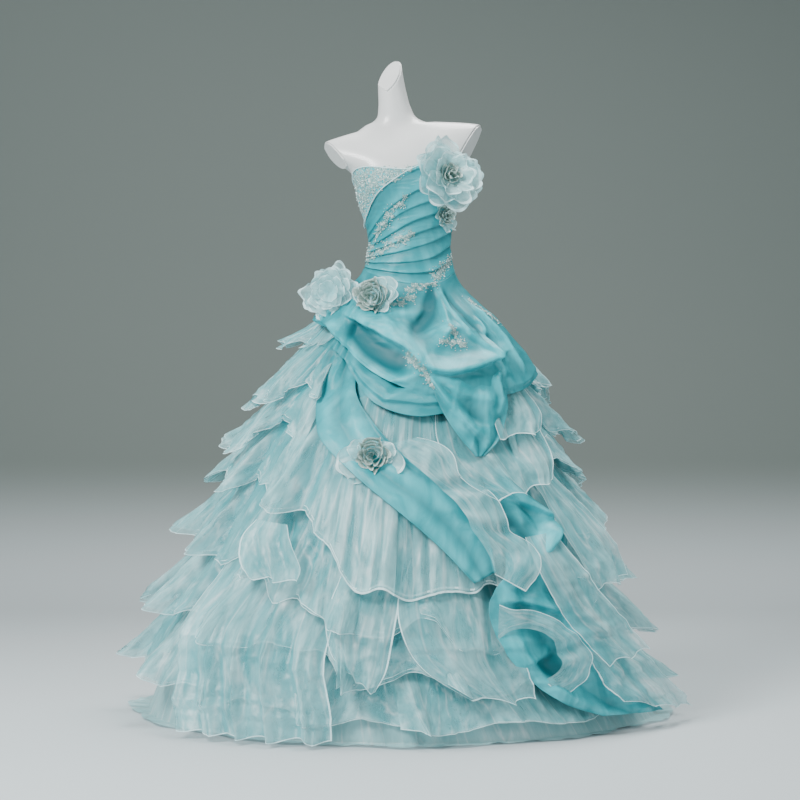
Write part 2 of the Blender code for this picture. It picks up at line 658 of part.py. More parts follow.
def add_bloom(row):
    theta = math.radians(row.angle)
    surface = body_point if row.on == "body" else skirt_point
    base = BODICE_LIFT + WRAP_PLEAT_DEPTH if row.on == "body" else cover(theta, row.z)
    seat = surface(theta, row.z, base + row.seat)
    out = Vector((math.sin(theta), -math.cos(theta), 0))
    side = Vector((math.cos(theta), math.sin(theta), 0))
    up = math.radians(row.tilt_up)
    turn = math.radians(row.tilt_side)
    facing = (out * math.cos(up) + Vector((0, 0, math.sin(up)))) * math.cos(turn) + side * math.sin(turn)
    facing.normalize()
    across = Vector((0, 0, 1)).cross(facing).normalized()
    rise = facing.cross(across)
    sides = 4 * row.petals
    rings = []
    for ply in BLOOM_SECTION:
        ring = []
        for i in range(sides):
            turn = 2 * math.pi * i / sides
            lobe = abs(math.sin(row.petals * turn / 2 + (0.8 if ply.radius > 0.7 else 0)))
            r = row.radius * ply.radius * (1 + BLOOM_LOBE * ply.lobe * (2 * lobe - 1))
            h = row.height * ply.height + row.frill * ply.lobe * math.sin(row.petals * turn + 0.5)
            ring.append(seat + across * r * math.cos(turn) + rise * r * math.sin(turn) + facing * h)
        rings.append(ring)
    bm = loft_rings(rings)
    bm.normal_update()
    bmesh.ops.recalc_face_normals(bm, faces=bm.faces)
    add_object(row.name, finish_mesh(row.name, bm), row.kind, crease=60)


scene = bpy.context.scene
for old in list(bpy.data.objects):
    bpy.data.objects.remove(old)
gown = bpy.data.collections.new("evening_gown")
scene.collection.children.link(gown)

add_stand()
add_form()
add_bodice()
add_skirt()
add_overskirt()
for bloom in BLOOMS:
    add_bloom(bloom)
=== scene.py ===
"""Looks of a strapless evening gown on its dress form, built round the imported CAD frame.

Metres, +Z up. The gown's front faces -Y and angles are measured round it from the front
towards +X. Every cloth piece repeats the form of its solid at a finer grain.
"""

import math
from collections import namedtuple
from random import Random

import bmesh
import bpy
from bpy.props import FloatProperty, FloatVectorProperty, IntProperty, PointerProperty
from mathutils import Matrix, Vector, noise


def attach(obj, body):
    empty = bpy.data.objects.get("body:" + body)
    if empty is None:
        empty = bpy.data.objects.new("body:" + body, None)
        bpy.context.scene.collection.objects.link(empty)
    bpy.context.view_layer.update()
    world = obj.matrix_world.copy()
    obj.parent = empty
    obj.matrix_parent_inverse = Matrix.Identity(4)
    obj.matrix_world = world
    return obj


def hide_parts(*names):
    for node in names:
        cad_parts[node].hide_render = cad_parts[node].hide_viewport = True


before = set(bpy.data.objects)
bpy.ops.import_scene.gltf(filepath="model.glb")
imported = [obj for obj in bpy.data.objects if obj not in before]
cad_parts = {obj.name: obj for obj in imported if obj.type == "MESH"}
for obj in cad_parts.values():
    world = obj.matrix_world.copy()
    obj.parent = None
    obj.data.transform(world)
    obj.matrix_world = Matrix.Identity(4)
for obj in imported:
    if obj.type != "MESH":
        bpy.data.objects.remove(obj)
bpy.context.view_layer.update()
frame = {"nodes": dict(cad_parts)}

bl_info = {
    "name": "Ruffled evening gown",
    "version": (1, 0, 0),
    "blender": (4, 5, 0),
    "location": "View3D > Sidebar > Gown",
    "description": "Builds a satin and organza evening gown on its dress form",
    "category": "Add Mesh",
}

WALL = 0.002
BODICE_WALL = 0.0022
BODICE_LIFT = 0.0034 + BODICE_WALL
WAIST_GAP = 0.0016
SEWN_GAP = 0.0005
LAYER = 0.006
FLOOR_GAP = 0.0006

Section = namedtuple("Section", "z half_width half_depth x y")
FORM = [
    Section(0.80, 0.146, 0.104, 0.000, 0.010),
    Section(0.90, 0.156, 0.112, 0.000, 0.010),
    Section(0.98, 0.160, 0.115, 0.000, 0.010),
    Section(1.05, 0.141, 0.105, 0.000, 0.006),
    Section(1.11, 0.114, 0.089, 0.001, 0.004),
    Section(1.16, 0.101, 0.079, 0.003, 0.003),
    Section(1.21, 0.099, 0.077, 0.004, 0.002),
    Section(1.26, 0.111, 0.084, 0.002, 0.000),
    Section(1.31, 0.125, 0.093, 0.000, -0.004),
    Section(1.35, 0.132, 0.097, -0.001, -0.005),
    Section(1.385, 0.150, 0.093, -0.004, -0.001),
    Section(1.415, 0.190, 0.085, -0.009, 0.004),
    Section(1.445, 0.222, 0.073, -0.014, 0.009),
    Section(1.468, 0.222, 0.061, -0.018, 0.012),
    Section(1.484, 0.170, 0.052, -0.021, 0.013),
    Section(1.496, 0.098, 0.046, -0.025, 0.012),
    Section(1.512, 0.056, 0.043, -0.029, 0.010),
    Section(1.54, 0.042, 0.041, -0.034, 0.007),
    Section(1.58, 0.036, 0.038, -0.040, 0.002),
    Section(1.63, 0.032, 0.036, -0.046, -0.004),
    Section(1.69, 0.030, 0.034, -0.052, -0.010),
]
SHOULDER_TILT = 0.12
SHOULDER_FROM, SHOULDER_TO = 1.36, 1.46
CUP_LIFT, CUP_Z, CUP_ANGLE = 0.013, 1.335, math.radians(34)
CUP_HIGH, CUP_WIDE = 0.042, math.radians(24)

Cut = namedtuple("Cut", "name upper lower turned")
FORM_CUTS = [
    Cut("form_arm_cap_left", (-0.204, 1.452), (-0.137, 1.352), 14),
    Cut("form_arm_cap_right", (0.176, 1.492), (0.137, 1.408), 14),
    Cut("form_neck_cap", (-0.016, 1.650), (-0.070, 1.590), 38),
]
FORM_CUT_Y = -0.004
CUTTER_MARGIN, CUTTER_DEPTH, CUTTER_WIDTH = 0.05, 0.16, 0.26

SKIRT = [
    Section(0.00, 0.625, 0.590, -0.012, 0.105),
    Section(0.20, 0.551, 0.525, -0.039, 0.085),
    Section(0.40, 0.470, 0.445, -0.030, 0.055),
    Section(0.60, 0.392, 0.368, -0.022, 0.035),
    Section(0.80, 0.312, 0.280, -0.010, 0.020),
    Section(0.90, 0.258, 0.222, -0.004, 0.014),
    Section(1.00, 0.188, 0.153, 0.000, 0.008),
    Section(1.06, 0.146, 0.113, 0.001, 0.005),
    Section(1.12, 0.1165, 0.0925, 0.001, 0.004),
    Section(1.16, 0.1075, 0.0855, 0.003, 0.003),
]

Key = namedtuple("Key", "angle z")
NECKLINE = [
    Key(-180, 1.325), Key(-120, 1.338), Key(-88, 1.350), Key(-62, 1.376), Key(-40, 1.384),
    Key(-18, 1.377), Key(0, 1.374), Key(14, 1.386), Key(40, 1.402), Key(66, 1.402),
    Key(90, 1.380), Key(130, 1.340), Key(180, 1.325),
]
WRAP_TOP = [
    Key(-88, 1.235), Key(-62, 1.262), Key(-40, 1.298), Key(-20, 1.336), Key(0, 1.369),
    Key(14, 1.385), Key(40, 1.401), Key(66, 1.401), Key(90, 1.379),
]
BASQUE = [
    Key(-180, 1.100), Key(-90, 1.128), Key(-45, 1.108), Key(0, 1.084), Key(30, 1.086),
    Key(60, 1.108), Key(90, 1.120), Key(180, 1.100),
]
WRAP_PLEATS = 8
WRAP_PLEAT_DEPTH = 0.0032
SIDE_SEAM = math.radians(90)

Ruffle = namedtuple(
    "Ruffle",
    "name back back_left left front_left front front_right right back_right flare flute waves start end",
)
RUFFLES = [
    Ruffle("ruffle_1", 0.865, 0.885, 0.925, 0.93, 0.93, 0.87, 0.800, 0.820, 0.045, 0.016, 9, 62, 322),
    Ruffle("ruffle_2", 0.745, 0.765, 0.790, 0.80, 0.86, 0.74, 0.700, 0.705, 0.052, 0.019, 9, 56, 309),
    Ruffle("ruffle_3", 0.615, 0.645, 0.690, 0.70, 0.78, 0.63, 0.600, 0.600, 0.055, 0.021, 9, 52, 304),
    Ruffle("ruffle_4", 0.480, 0.530, 0.600, 0.565, 0.350, 0.375, 0.490, 0.480, 0.056, 0.022, 12, 0, 360),
    Ruffle("ruffle_5", 0.345, 0.380, 0.455, 0.400, 0.235, 0.250, 0.360, 0.345, 0.058, 0.023, 13, 0, 360),
    Ruffle("ruffle_6", 0.200, 0.240, 0.290, 0.240, 0.135, 0.150, 0.205, 0.200, 0.060, 0.024, 14, 0, 360),
    Ruffle("ruffle_7", 0.070, 0.090, 0.125, 0.095, 0.040, 0.055, 0.085, 0.080, 0.060, 0.024, 15, 0, 360),
]
RUFFLE_OVERLAP = 0.045
RUFFLE_TOP_LIFT = 0.006
RUFFLE_TOP_Z = 1.045
HEM_DIP = 0.012
CALM_FRONT, CALM_HALF_WIDTH, CALM_SHARE = math.radians(8), math.radians(38), 0.3
FLARE_GROWTH, SECOND_WAVE, WAVE_PEAK = 1.15, 0.3, 1.3
TUCKED_FLARE, TUCK_SHARE = 0.018, 7
HEM_SWAY = 0.035
BRIDGE_SLOPE, BRIDGE_EASE = 0.6, 0.3
BRIDGE_ACROSS, BRIDGE_DOWN = (-0.07, 0, 0.07), (-0.03, 0, 0.03, 0.06)
FLOUNCE_TOP = 0.105
FLOUNCE_DROP, FLOUNCE_SPREAD, FLOUNCE_TAPER = 0.026, 0.052, 0.45
FLOUNCE_WAVE, FLOUNCE_WAVES = 0.010, 11

OVERSKIRT_HEM = [
    Key(-74, 1.000), Key(-58, 0.985), Key(-44, 0.965), Key(-30, 0.915), Key(-15, 0.865),
    Key(0, 0.825), Key(12, 0.798), Key(24, 0.790), Key(40, 0.800), Key(58, 0.822), Key(76, 0.862),
]
SWAG_HEM = [
    Key(-40, 0.925), Key(-32, 0.893), Key(-24, 0.850), Key(-11, 0.787), Key(4, 0.758),
    Key(16, 0.765), Key(26, 0.780), Key(36, 0.785),
]
OVERSKIRT_SEAT = WALL + 0.0015
OVERSKIRT_FOLDS, OVERSKIRT_FOLD_DEPTH, OVERSKIRT_PUFF = 4, 0.012, 0.012
SWAG_FOLDS, SWAG_FOLD_DEPTH = 2, 0.010

Span = namedtuple("Span", "at a1 z1 a2 z2 lift depth")
LEAF_PANEL = [
    Span(0, -44, 0.950, -27, 0.905, -0.0012, 0.000),
    Span(1, -43, 0.880, -22, 0.820, 0.001, 0.004),
    Span(2, -40, 0.800, -12, 0.750, 0.004, 0.008),
    Span(3, -30, 0.710, -3, 0.690, 0.006, 0.008),
    Span(4, -15, 0.625, 5, 0.640, 0.006, 0.008),
    Span(5, 0, 0.535, 16, 0.585, 0.006, 0.007),
    Span(6, 11, 0.452, 24, 0.500, 0.006, 0.006),
    Span(7, 19, 0.368, 25, 0.392, 0.005, 0.002),
]
RIGHT_PANEL = [
    Span(0, 8, 0.870, 57, 0.860, 0.0038, 0.000),
    Span(1, 12, 0.800, 51, 0.800, 0.0048, 0.003),
    Span(2, 16, 0.730, 43, 0.742, 0.006, 0.008),
    Span(3, 24, 0.668, 31, 0.672, 0.008, 0.002),
]
CASCADE = [
    Span(0, 22, 0.648, 37, 0.640, -0.005, 0.004),
    Span(1, 28, 0.557, 46, 0.550, -0.003, 0.016),
    Span(2, 31, 0.462, 48, 0.458, -0.003, 0.020),
    Span(3, 29, 0.375, 46, 0.364, -0.003, 0.020),
    Span(4, 25, 0.285, 54, 0.270, -0.003, 0.022),
    Span(5, 26, 0.211, 54, 0.180, -0.003, 0.022),
    Span(6, 31, 0.135, 57, 0.098, -0.003, 0.018),
    Span(7, 42, 0.060, 62, 0.046, -0.003, 0.008),
]


# Sizes and colours that a user would change.


class GownSizes(bpy.types.PropertyGroup):
    """How finely the cloth is made and how deep its creases are."""

    ruffle_columns: IntProperty(
        name="Ruffle columns", description="Faces along a full ruffle's hem", default=520, min=60
    )
    ruffle_rows: IntProperty(
        name="Ruffle rows", description="Faces down a ruffle", default=26, min=6
    )
    satin_grain: FloatProperty(
        name="Satin face size", description="Size of a face on the satin pieces",
        default=0.005, min=0.002, unit="LENGTH",
    )
    hem_width: FloatProperty(
        name="Rolled hem", description="Width of the pale rolled hem on the organza",
        default=0.0032, min=0.001, unit="LENGTH",
    )
    crumple: FloatProperty(
        name="Organza crumple", description="Depth of the organza's small creases",
        default=0.0075, min=0.0, unit="LENGTH",
    )


class GownColours(bpy.types.PropertyGroup):
    """The gown's cloth colours."""

    satin: FloatVectorProperty(
        name="Satin", description="Colour of the satin", subtype="COLOR", size=3,
        default=(0.018, 0.385, 0.435), min=0, max=1,
    )
    organza: FloatVectorProperty(
        name="Organza", description="Colour of the sheer ruffles", subtype="COLOR", size=3,
        default=(0.29, 0.90, 0.95), min=0, max=1,
    )
    lining: FloatVectorProperty(
        name="Lining", description="Colour of the underskirt that shows through", subtype="COLOR",
        size=3, default=(0.02, 0.32, 0.37), min=0, max=1,
    )
    rosette: FloatVectorProperty(
        name="Rosettes", description="Colour of the small frayed flowers", subtype="COLOR", size=3,
        default=(0.50, 0.68, 0.62), min=0, max=1,
    )


class GownStage(bpy.types.PropertyGroup):
    """The camera's place and lens."""

    camera_distance: FloatProperty(
        name="Camera distance", description="From the pole to the camera", default=5.3,
        unit="LENGTH",
    )
    camera_height: FloatProperty(
        name="Camera height", description="Height of the level camera", default=0.796,
        unit="LENGTH",
    )
    camera_side: FloatProperty(
        name="Camera side", description="The camera's place to the right", default=-0.0204,
        unit="LENGTH",
    )
    lens: FloatProperty(
        name="Lens", description="Focal length of the camera on a 36 mm sensor", default=93.5,
        min=10, unit="CAMERA",
    )


# Curves through tables, and the bodies that they describe.


def smooth(t):
    """0 to 1, easing in and out."""
    t = min(1.0, max(0.0, t))
    return t * t * (3 - 2 * t)


def mix(a, b, t):
    return a + (b - a) * t


def along(rows, at, column, key):
    """A smooth curve through the rows: the column's value where the key has the value at."""
    n = len(rows)
    i = 0
    while i < n - 2 and at > getattr(rows[i + 1], key):
        i += 1
    k0, k1 = getattr(rows[i], key), getattr(rows[i + 1], key)
    v0, v1 = getattr(rows[i], column), getattr(rows[i + 1], column)
    before, after = rows[max(i - 1, 0)], rows[min(i + 2, n - 1)]
    m0 = (v1 - getattr(before, column)) / (k1 - getattr(before, key)) * (k1 - k0)
    m1 = (getattr(after, column) - v0) / (getattr(after, key) - k0) * (k1 - k0)
    t = min(1.0, max(0.0, (at - k0) / (k1 - k0)))
    return (
        (2 * t**3 - 3 * t**2 + 1) * v0 + (t**3 - 2 * t**2 + t) * m0
        + (3 * t**2 - 2 * t**3) * v1 + (t**3 - t**2) * m1
    )


def edge_z(keys, theta):
    """The height of an edge that is given by keys in degrees."""
    return along(keys, math.degrees(theta), "z", "angle")


def ring_point(rows, theta, z, lift):
    """A point of a lofted body at this angle and height, moved out by lift."""
    half_width = along(rows, z, "half_width", "z") + lift
    half_depth = along(rows, z, "half_depth", "z") + lift
    x = along(rows, z, "x", "z") + half_width * math.sin(theta)
    y = along(rows, z, "y", "z") - half_depth * math.cos(theta)
    return Vector((x, y, z))


def cup_lift(theta, z):
    """How far the two cups stand forward of the plain rings."""
    high = math.exp(-(((z - CUP_Z) / CUP_HIGH) ** 2))
    return sum(
        CUP_LIFT * high * math.exp(-(((theta - side * CUP_ANGLE) / CUP_WIDE) ** 2))
        for side in (-1, 1)
    )


def body_point(theta, z, lift):
    """A point on the dress form, or on what is worn on it at this lift."""
    turn = math.remainder(theta, 2 * math.pi)
    point = ring_point(FORM, turn, z, lift + cup_lift(turn, z))
    share = smooth((z - SHOULDER_FROM) / (SHOULDER_TO - SHOULDER_FROM))
    point.z += SHOULDER_TILT * share * (point.x + 0.014) * (1.0 if z < 1.5 else 0.3)
    return point


def skirt_point(theta, z, lift):
    return ring_point(SKIRT, theta, z, lift)


def ruffle_hem(row, theta):
    """The hem's height round the skirt, a smooth closed curve through eight places."""
    around = [
        row.front, row.front_right, row.right, row.back_right,
        row.back, row.back_left, row.left, row.front_left,
    ]
    place = (math.degrees(theta) % 360) / 45
    i = int(place) % 8
    t = place - int(place)
    p0, p1, p2, p3 = (around[(i + k) % 8] for k in (-1, 0, 1, 2))
    return p1 + 0.5 * t * (p2 - p0 + t * (2 * p0 - 5 * p1 + 4 * p2 - p3 + t * (3 * (p1 - p2) + p3 - p0)))


def calm(theta):
    """How strongly a ruffle flutes: less at the front, where the overlays lie on it."""
    off = abs(math.remainder(theta - CALM_FRONT, 2 * math.pi))
    return mix(CALM_SHARE, 1.0, smooth((off / CALM_HALF_WIDTH - 0.55) / 0.9))


def cover(theta, z, lowest=0):
    """How far out a piece has to lie at this place to clear the ruffles, hems included."""
    most = 0.0
    for index, row in enumerate(RUFFLES):
        if index < lowest:
            continue
        turn = math.degrees(theta) % 360
        share = 1.0
        if row.end - row.start < 360:
            if not row.start <= turn <= row.end:
                continue
            run = (turn - row.start) / (row.end - row.start)
            share = smooth(min(run, 1 - run) * TUCK_SHARE)
        hem = ruffle_hem(row, theta) - HEM_DIP * calm(theta)
        top = ruffle_hem(RUFFLES[index - 1], theta) + RUFFLE_OVERLAP if index else RUFFLE_TOP_Z
        fall = min(1.0, (top + 0.006 - z) / (top - hem))
        if fall <= 0:
            continue
        fluted = row.flare * fall**FLARE_GROWTH + WAVE_PEAK * row.flute * calm(theta) * fall
        lift = RUFFLE_TOP_LIFT + WALL + mix(TUCKED_FLARE * fall, fluted, share)
        most = max(most, lift - BRIDGE_SLOPE * max(0.0, hem - z))
    return most


def smooth_cover(theta, z, lowest=0):
    """The same, eased over a hand's width, as cloth bridges the steps beneath it."""
    around = [
        cover(theta + across, z + along_z, lowest)
        for across in BRIDGE_ACROSS for along_z in BRIDGE_DOWN
    ]
    eased = sum(around) / len(around) + BRIDGE_EASE * (max(around) - min(around))
    return max(cover(theta, z, lowest), eased)


class CoverMap:
    """smooth_cover worked out once on a coarse net and read between its knots."""

    def __init__(self, low, high, bottom, top, lowest, step=0.012):
        self.low, self.bottom, self.step = low, bottom, step
        self.across = 2 + int((high - low) / (3 * step))
        self.up = 2 + int((top - bottom) / step)
        self.knots = [
            [smooth_cover(low + 3 * step * i, bottom + step * j, lowest) for j in range(self.up)]
            for i in range(self.across)
        ]

    def __call__(self, theta, z):
        a = min(self.across - 1.001, max(0.0, (theta - self.low) / (3 * self.step)))
        b = min(self.up - 1.001, max(0.0, (z - self.bottom) / self.step))
        i, j = int(a), int(b)
        left = mix(self.knots[i][j], self.knots[i][j + 1], b - j)
        right = mix(self.knots[i + 1][j], self.knots[i + 1][j + 1], b - j)
        return mix(left, right, a - i)


def crumple(point, stretch, seed):
    """0 to 1: ridged creases, as crisp cloth shows, stretched along the three axes."""
    p = Vector((point.x * stretch[0], point.y * stretch[1], point.z * stretch[2] + seed))
    p += 0.9 * noise.noise_vector(p * 0.55)
    ridge = 1 - abs(noise.noise(p)) * 2.1
    fine = 1 - abs(noise.noise(p * 2.3 + Vector((3.1, 1.7, seed)))) * 2.1
    return max(0.0, 0.68 * ridge + 0.32 * fine)


# Making and handing over pieces.


def cloth_mesh(name, columns, rows, place, size, closed=False, hem=0, side_hems=()):
    """A cloth sheet as a net of faces. place(u, v) puts it, u across and v down.

    The UV map "cloth" is in metres along the flat cloth, and the attribute that the materials
    read as painted shade is 1 in the folds' valleys and 0 on their ridges. The last hem rows,
    and the columns at side_hems, 0 for the first and -1 for the last, take the second material.
    """
    bm = bmesh.new()
    uv = bm.loops.layers.uv.new("cloth")
    hollow = bm.verts.layers.float.new("hollow")
    bmesh.ops.create_grid(bm, x_segments=columns, y_segments=rows, size=0.5)
    for face in bm.faces:
        middle = face.calc_center_median()
        row = int((0.5 - middle.y) * rows)
        column = int((middle.x + 0.5) * columns)
        if row >= rows - hem or column in side_hems or column - columns in side_hems:
            face.material_index = 1
        for loop in face.loops:
            loop[uv].uv = ((loop.vert.co.x + 0.5) * size[0], (loop.vert.co.y + 0.5) * size[1])
    for vert in bm.verts:
        placed = place(vert.co.x + 0.5, 0.5 - vert.co.y)
        # Pieces that give no shade value of their own take a middling painted shade.
        vert.co, vert[hollow] = placed if isinstance(placed, tuple) else (placed, 0.4)
    if closed:
        bmesh.ops.remove_doubles(bm, verts=bm.verts, dist=1e-5)
    bm.normal_update()
    facing = sum(
        f.normal.dot(Vector((m.x, m.y - 0.03, 0))) * f.calc_area()
        for f in bm.faces for m in (f.calc_center_median(),)
    )
    if facing < 0:
        bmesh.ops.reverse_faces(bm, faces=bm.faces)
    return mesh_from(name, bm)


def mesh_from(name, bm):
    mesh = bpy.data.meshes.new(name)
    bm.to_mesh(mesh)
    bm.free()
    mesh.shade_smooth()
    return mesh


def add_piece(name, mesh, slot, *materials):
    """Links a finished piece, which rides on the part's one body."""
    made = bpy.data.objects.new(name, mesh)
    bpy.context.scene.collection.objects.link(made)
    for material in materials:
        mesh.materials.append(material)
    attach(made, "root")
    return made


def give_wall(made, thickness):
    wall = made.modifiers.new("wall", "SOLIDIFY")
    wall.thickness = thickness
    wall.offset = -1
    return wall


def sheet_area(mesh):
    return sum(face.area for face in mesh.polygons)


def declare_cut(made, width, length):
    """Works out what length of cloth of this width would hold the piece's own mesh area; nothing is kept."""
    area = sheet_area(made.data)
    if area > width * length:
        length = area * 1.02 / width


# Shared shader effects.


def effect_group(name, inputs, outputs):
    """A new shader node group with its named sockets and its two end nodes."""
    group = bpy.data.node_groups.new(name, "ShaderNodeTree")
    for label, default in inputs:
        made = group.interface.new_socket(label, in_out="INPUT", socket_type="NodeSocketFloat")
        made.default_value = default
    for label, kind in outputs:
        group.interface.new_socket(label, in_out="OUTPUT", socket_type=kind)
    start = group.nodes.new("NodeGroupInput")
    end = group.nodes.new("NodeGroupOutput")
    return group, start, end


def weave_effect():
    """Threads across and along the cloth's own UV map, in metres."""
    group, start, end = effect_group(
        "weave", [("Threads a metre", 1500.0)], [("Height", "NodeSocketFloat")]
    )
    link = group.links.new
    uv = group.nodes.new("ShaderNodeUVMap")
    uv.uv_map = "cloth"
    split = group.nodes.new("ShaderNodeSeparateXYZ")
    link(uv.outputs["UV"], split.inputs[0])
    waves = []
    for axis in (0, 1):
        scaled = group.nodes.new("ShaderNodeMath")
        scaled.operation = "MULTIPLY"
        link(split.outputs[axis], scaled.inputs[0])
        link(start.outputs["Threads a metre"], scaled.inputs[1])
        wave = group.nodes.new("ShaderNodeMath")
        wave.operation = "SINE"
        link(scaled.outputs[0], wave.inputs[0])
        waves.append(wave)
    both = group.nodes.new("ShaderNodeMath")
    both.operation = "MULTIPLY"
    link(waves[0].outputs[0], both.inputs[0])
    link(waves[1].outputs[0], both.inputs[1])
    link(both.outputs[0], end.inputs["Height"])
    return group


def crease_effect():
    """Crisp creases and soft streaks of tone on Object coordinates; the satin and organza paint sheen with the
    streaks.
    """
    group, start, end = effect_group(
        "crease",
        [("Scale", 14.0), ("Stretch", 0.35)],
        [("Height", "NodeSocketFloat"), ("Streak", "NodeSocketFloat")],
    )
    link = group.links.new
    coords = group.nodes.new("ShaderNodeTexCoord")
    stretch = group.nodes.new("ShaderNodeCombineXYZ")
    stretch.inputs[0].default_value = 1
    stretch.inputs[1].default_value = 1
    link(start.outputs["Stretch"], stretch.inputs[2])
    scaled = group.nodes.new("ShaderNodeVectorMath")
    scaled.operation = "MULTIPLY"
    link(coords.outputs["Object"], scaled.inputs[0])
    link(stretch.outputs[0], scaled.inputs[1])
    ridged = group.nodes.new("ShaderNodeTexNoise")
    ridged.noise_type = "RIDGED_MULTIFRACTAL"
    ridged.inputs["Detail"].default_value = 3
    ridged.inputs["Distortion"].default_value = 0.8
    link(scaled.outputs[0], ridged.inputs["Vector"])
    link(start.outputs["Scale"], ridged.inputs["Scale"])
    streak = group.nodes.new("ShaderNodeTexNoise")
    streak.inputs["Detail"].default_value = 4
    streak.inputs["Distortion"].default_value = 2.2
    link(scaled.outputs[0], streak.inputs["Vector"])
    link(start.outputs["Scale"], streak.inputs["Scale"])
    spread = group.nodes.new("ShaderNodeMapRange")
    spread.inputs["From Min"].default_value = 0.38
    spread.inputs["From Max"].default_value = 0.64
    link(streak.outputs[0], spread.inputs["Value"])
    link(ridged.outputs[0], end.inputs["Height"])
    link(spread.outputs[0], end.inputs["Streak"])
    return group


def brushed_effect():
    """Streaks where threads would catch the light and thin lines along straight crisp creases, both for painted
    highlights, and a facet bump, along the cloth's own UV map.
    """
    group, start, end = effect_group(
        "brushed",
        [("Scale", 38.0), ("Stretch", 0.22)],
        [("Height", "NodeSocketFloat"), ("Streak", "NodeSocketFloat"), ("Line", "NodeSocketFloat")],
    )
    link = group.links.new
    uv = group.nodes.new("ShaderNodeUVMap")
    uv.uv_map = "cloth"
    stretch = group.nodes.new("ShaderNodeCombineXYZ")
    stretch.inputs[0].default_value = 1
    link(start.outputs["Stretch"], stretch.inputs[1])
    scaled = group.nodes.new("ShaderNodeVectorMath")
    scaled.operation = "MULTIPLY"
    link(uv.outputs["UV"], scaled.inputs[0])
    link(stretch.outputs[0], scaled.inputs[1])
    size = group.nodes.new("ShaderNodeVectorMath")
    size.operation = "SCALE"
    link(scaled.outputs[0], size.inputs[0])
    link(start.outputs["Scale"], size.inputs["Scale"])
    wander = group.nodes.new("ShaderNodeTexNoise")
    wander.inputs["Scale"].default_value = 0.35
    wander.inputs["Detail"].default_value = 2
    link(size.outputs[0], wander.inputs["Vector"])
    warp = group.nodes.new("ShaderNodeVectorMath")
    warp.operation = "MULTIPLY_ADD"
    link(wander.outputs["Color"], warp.inputs[0])
    warp.inputs[1].default_value = (2.2, 2.2, 2.2)
    link(size.outputs[0], warp.inputs[2])
    streak = group.nodes.new("ShaderNodeTexNoise")
    streak.inputs["Scale"].default_value = 1.0
    streak.inputs["Detail"].default_value = 5
    streak.inputs["Roughness"].default_value = 0.62
    link(warp.outputs[0], streak.inputs["Vector"])
    spread = group.nodes.new("ShaderNodeMapRange")
    spread.inputs["From Min"].default_value = 0.40
    spread.inputs["From Max"].default_value = 0.62
    link(streak.outputs[0], spread.inputs["Value"])
    edges = group.nodes.new("ShaderNodeTexVoronoi")
    edges.feature = "DISTANCE_TO_EDGE"
    edges.inputs["Scale"].default_value = 0.42
    link(warp.outputs[0], edges.inputs["Vector"])
    line = group.nodes.new("ShaderNodeMapRange")
    line.inputs["From Min"].default_value = 0.0
    line.inputs["From Max"].default_value = 0.055
    line.inputs["To Min"].default_value = 1
    line.inputs["To Max"].default_value = 0
    link(edges.outputs["Distance"], line.inputs["Value"])
    broken = group.nodes.new("ShaderNodeMath")
    broken.operation = "MULTIPLY"
    link(line.outputs[0], broken.inputs[0])
    link(spread.outputs[0], broken.inputs[1])
    facets = group.nodes.new("ShaderNodeTexVoronoi")
    facets.inputs["Scale"].default_value = 0.42
    link(warp.outputs[0], facets.inputs["Vector"])
    link(facets.outputs["Distance"], end.inputs["Height"])
    link(spread.outputs[0], end.inputs["Streak"])
    link(broken.outputs[0], end.inputs["Line"])
    return group


def effect(material, name, **values):
    """Places a shared effect in a material, with its own values."""
    makers = {"weave": weave_effect, "crease": crease_effect, "brushed": brushed_effect}
    group = bpy.data.node_groups.get(name) or makers[name]()
    node = material.node_tree.nodes.new("ShaderNodeGroup")
    node.node_tree = group
    for label, value in values.items():
        node.inputs[label.replace("_", " ")].default_value = value
    return node


def cloth_material(name, roughness, sheen, specular=0.5, coat=0.0, anisotropy=0.0):
    """A new material and its shader, with the constants on the shader's own sockets."""
    made = bpy.data.materials.new(name)
    made.use_nodes = True
    shader = made.node_tree.nodes["Principled BSDF"]
    shader.inputs["Roughness"].default_value = roughness
    shader.inputs["Sheen Weight"].default_value = sheen
    shader.inputs["Sheen Roughness"].default_value = 0.3
    shader.inputs["Specular IOR Level"].default_value = specular
    shader.inputs["Coat Weight"].default_value = coat
    shader.inputs["Anisotropic"].default_value = anisotropy
    return made, shader


def mix_colour(material, factor, low, high):
    """Two colours mixed by a value, for a Base Color socket."""
    node = material.node_tree.nodes.new("ShaderNodeMix")
    node.data_type = "RGBA"
    node.inputs["A"].default_value = (*low, 1)
    node.inputs["B"].default_value = (*high, 1)
    material.node_tree.links.new(factor, node.inputs["Factor"])
    return node.outputs["Result"]


def relief(material, shader, parts):
    """Bump from one or more (height, distance) pairs, each over the one before."""
    link = material.node_tree.links.new
    below = None
    for height, distance in parts:
        bump = material.node_tree.nodes.new("ShaderNodeBump")
        bump.inputs["Distance"].default_value = distance
        link(height, bump.inputs["Height"])
        if below:
            link(below, bump.inputs["Normal"])
        below = bump.outputs["Normal"]
    link(below, shader.inputs["Normal"])


def shade(colour, factor):
    return tuple(min(1.0, c * factor) for c in colour)


def towards(colour, other, share):
    return tuple(mix(a, b, share) for a, b in zip(colour, other))


def paint_fold_shade(material, low, high):
    """Painted shade: the colour goes towards low where the mesh's own attribute marks folds and deep places."""
    hollow = material.node_tree.nodes.new("ShaderNodeAttribute")
    hollow.attribute_name = "hollow"
    node = material.node_tree.nodes.new("ShaderNodeMix")
    node.data_type = "RGBA"
    link = material.node_tree.links.new
    link(hollow.outputs["Fac"], node.inputs["Factor"])
    link(high, node.inputs["A"])
    if isinstance(low, tuple):
        node.inputs["B"].default_value = (*low, 1)
    else:
        link(low, node.inputs["B"])
    return node.outputs["Result"], hollow.outputs["Fac"]


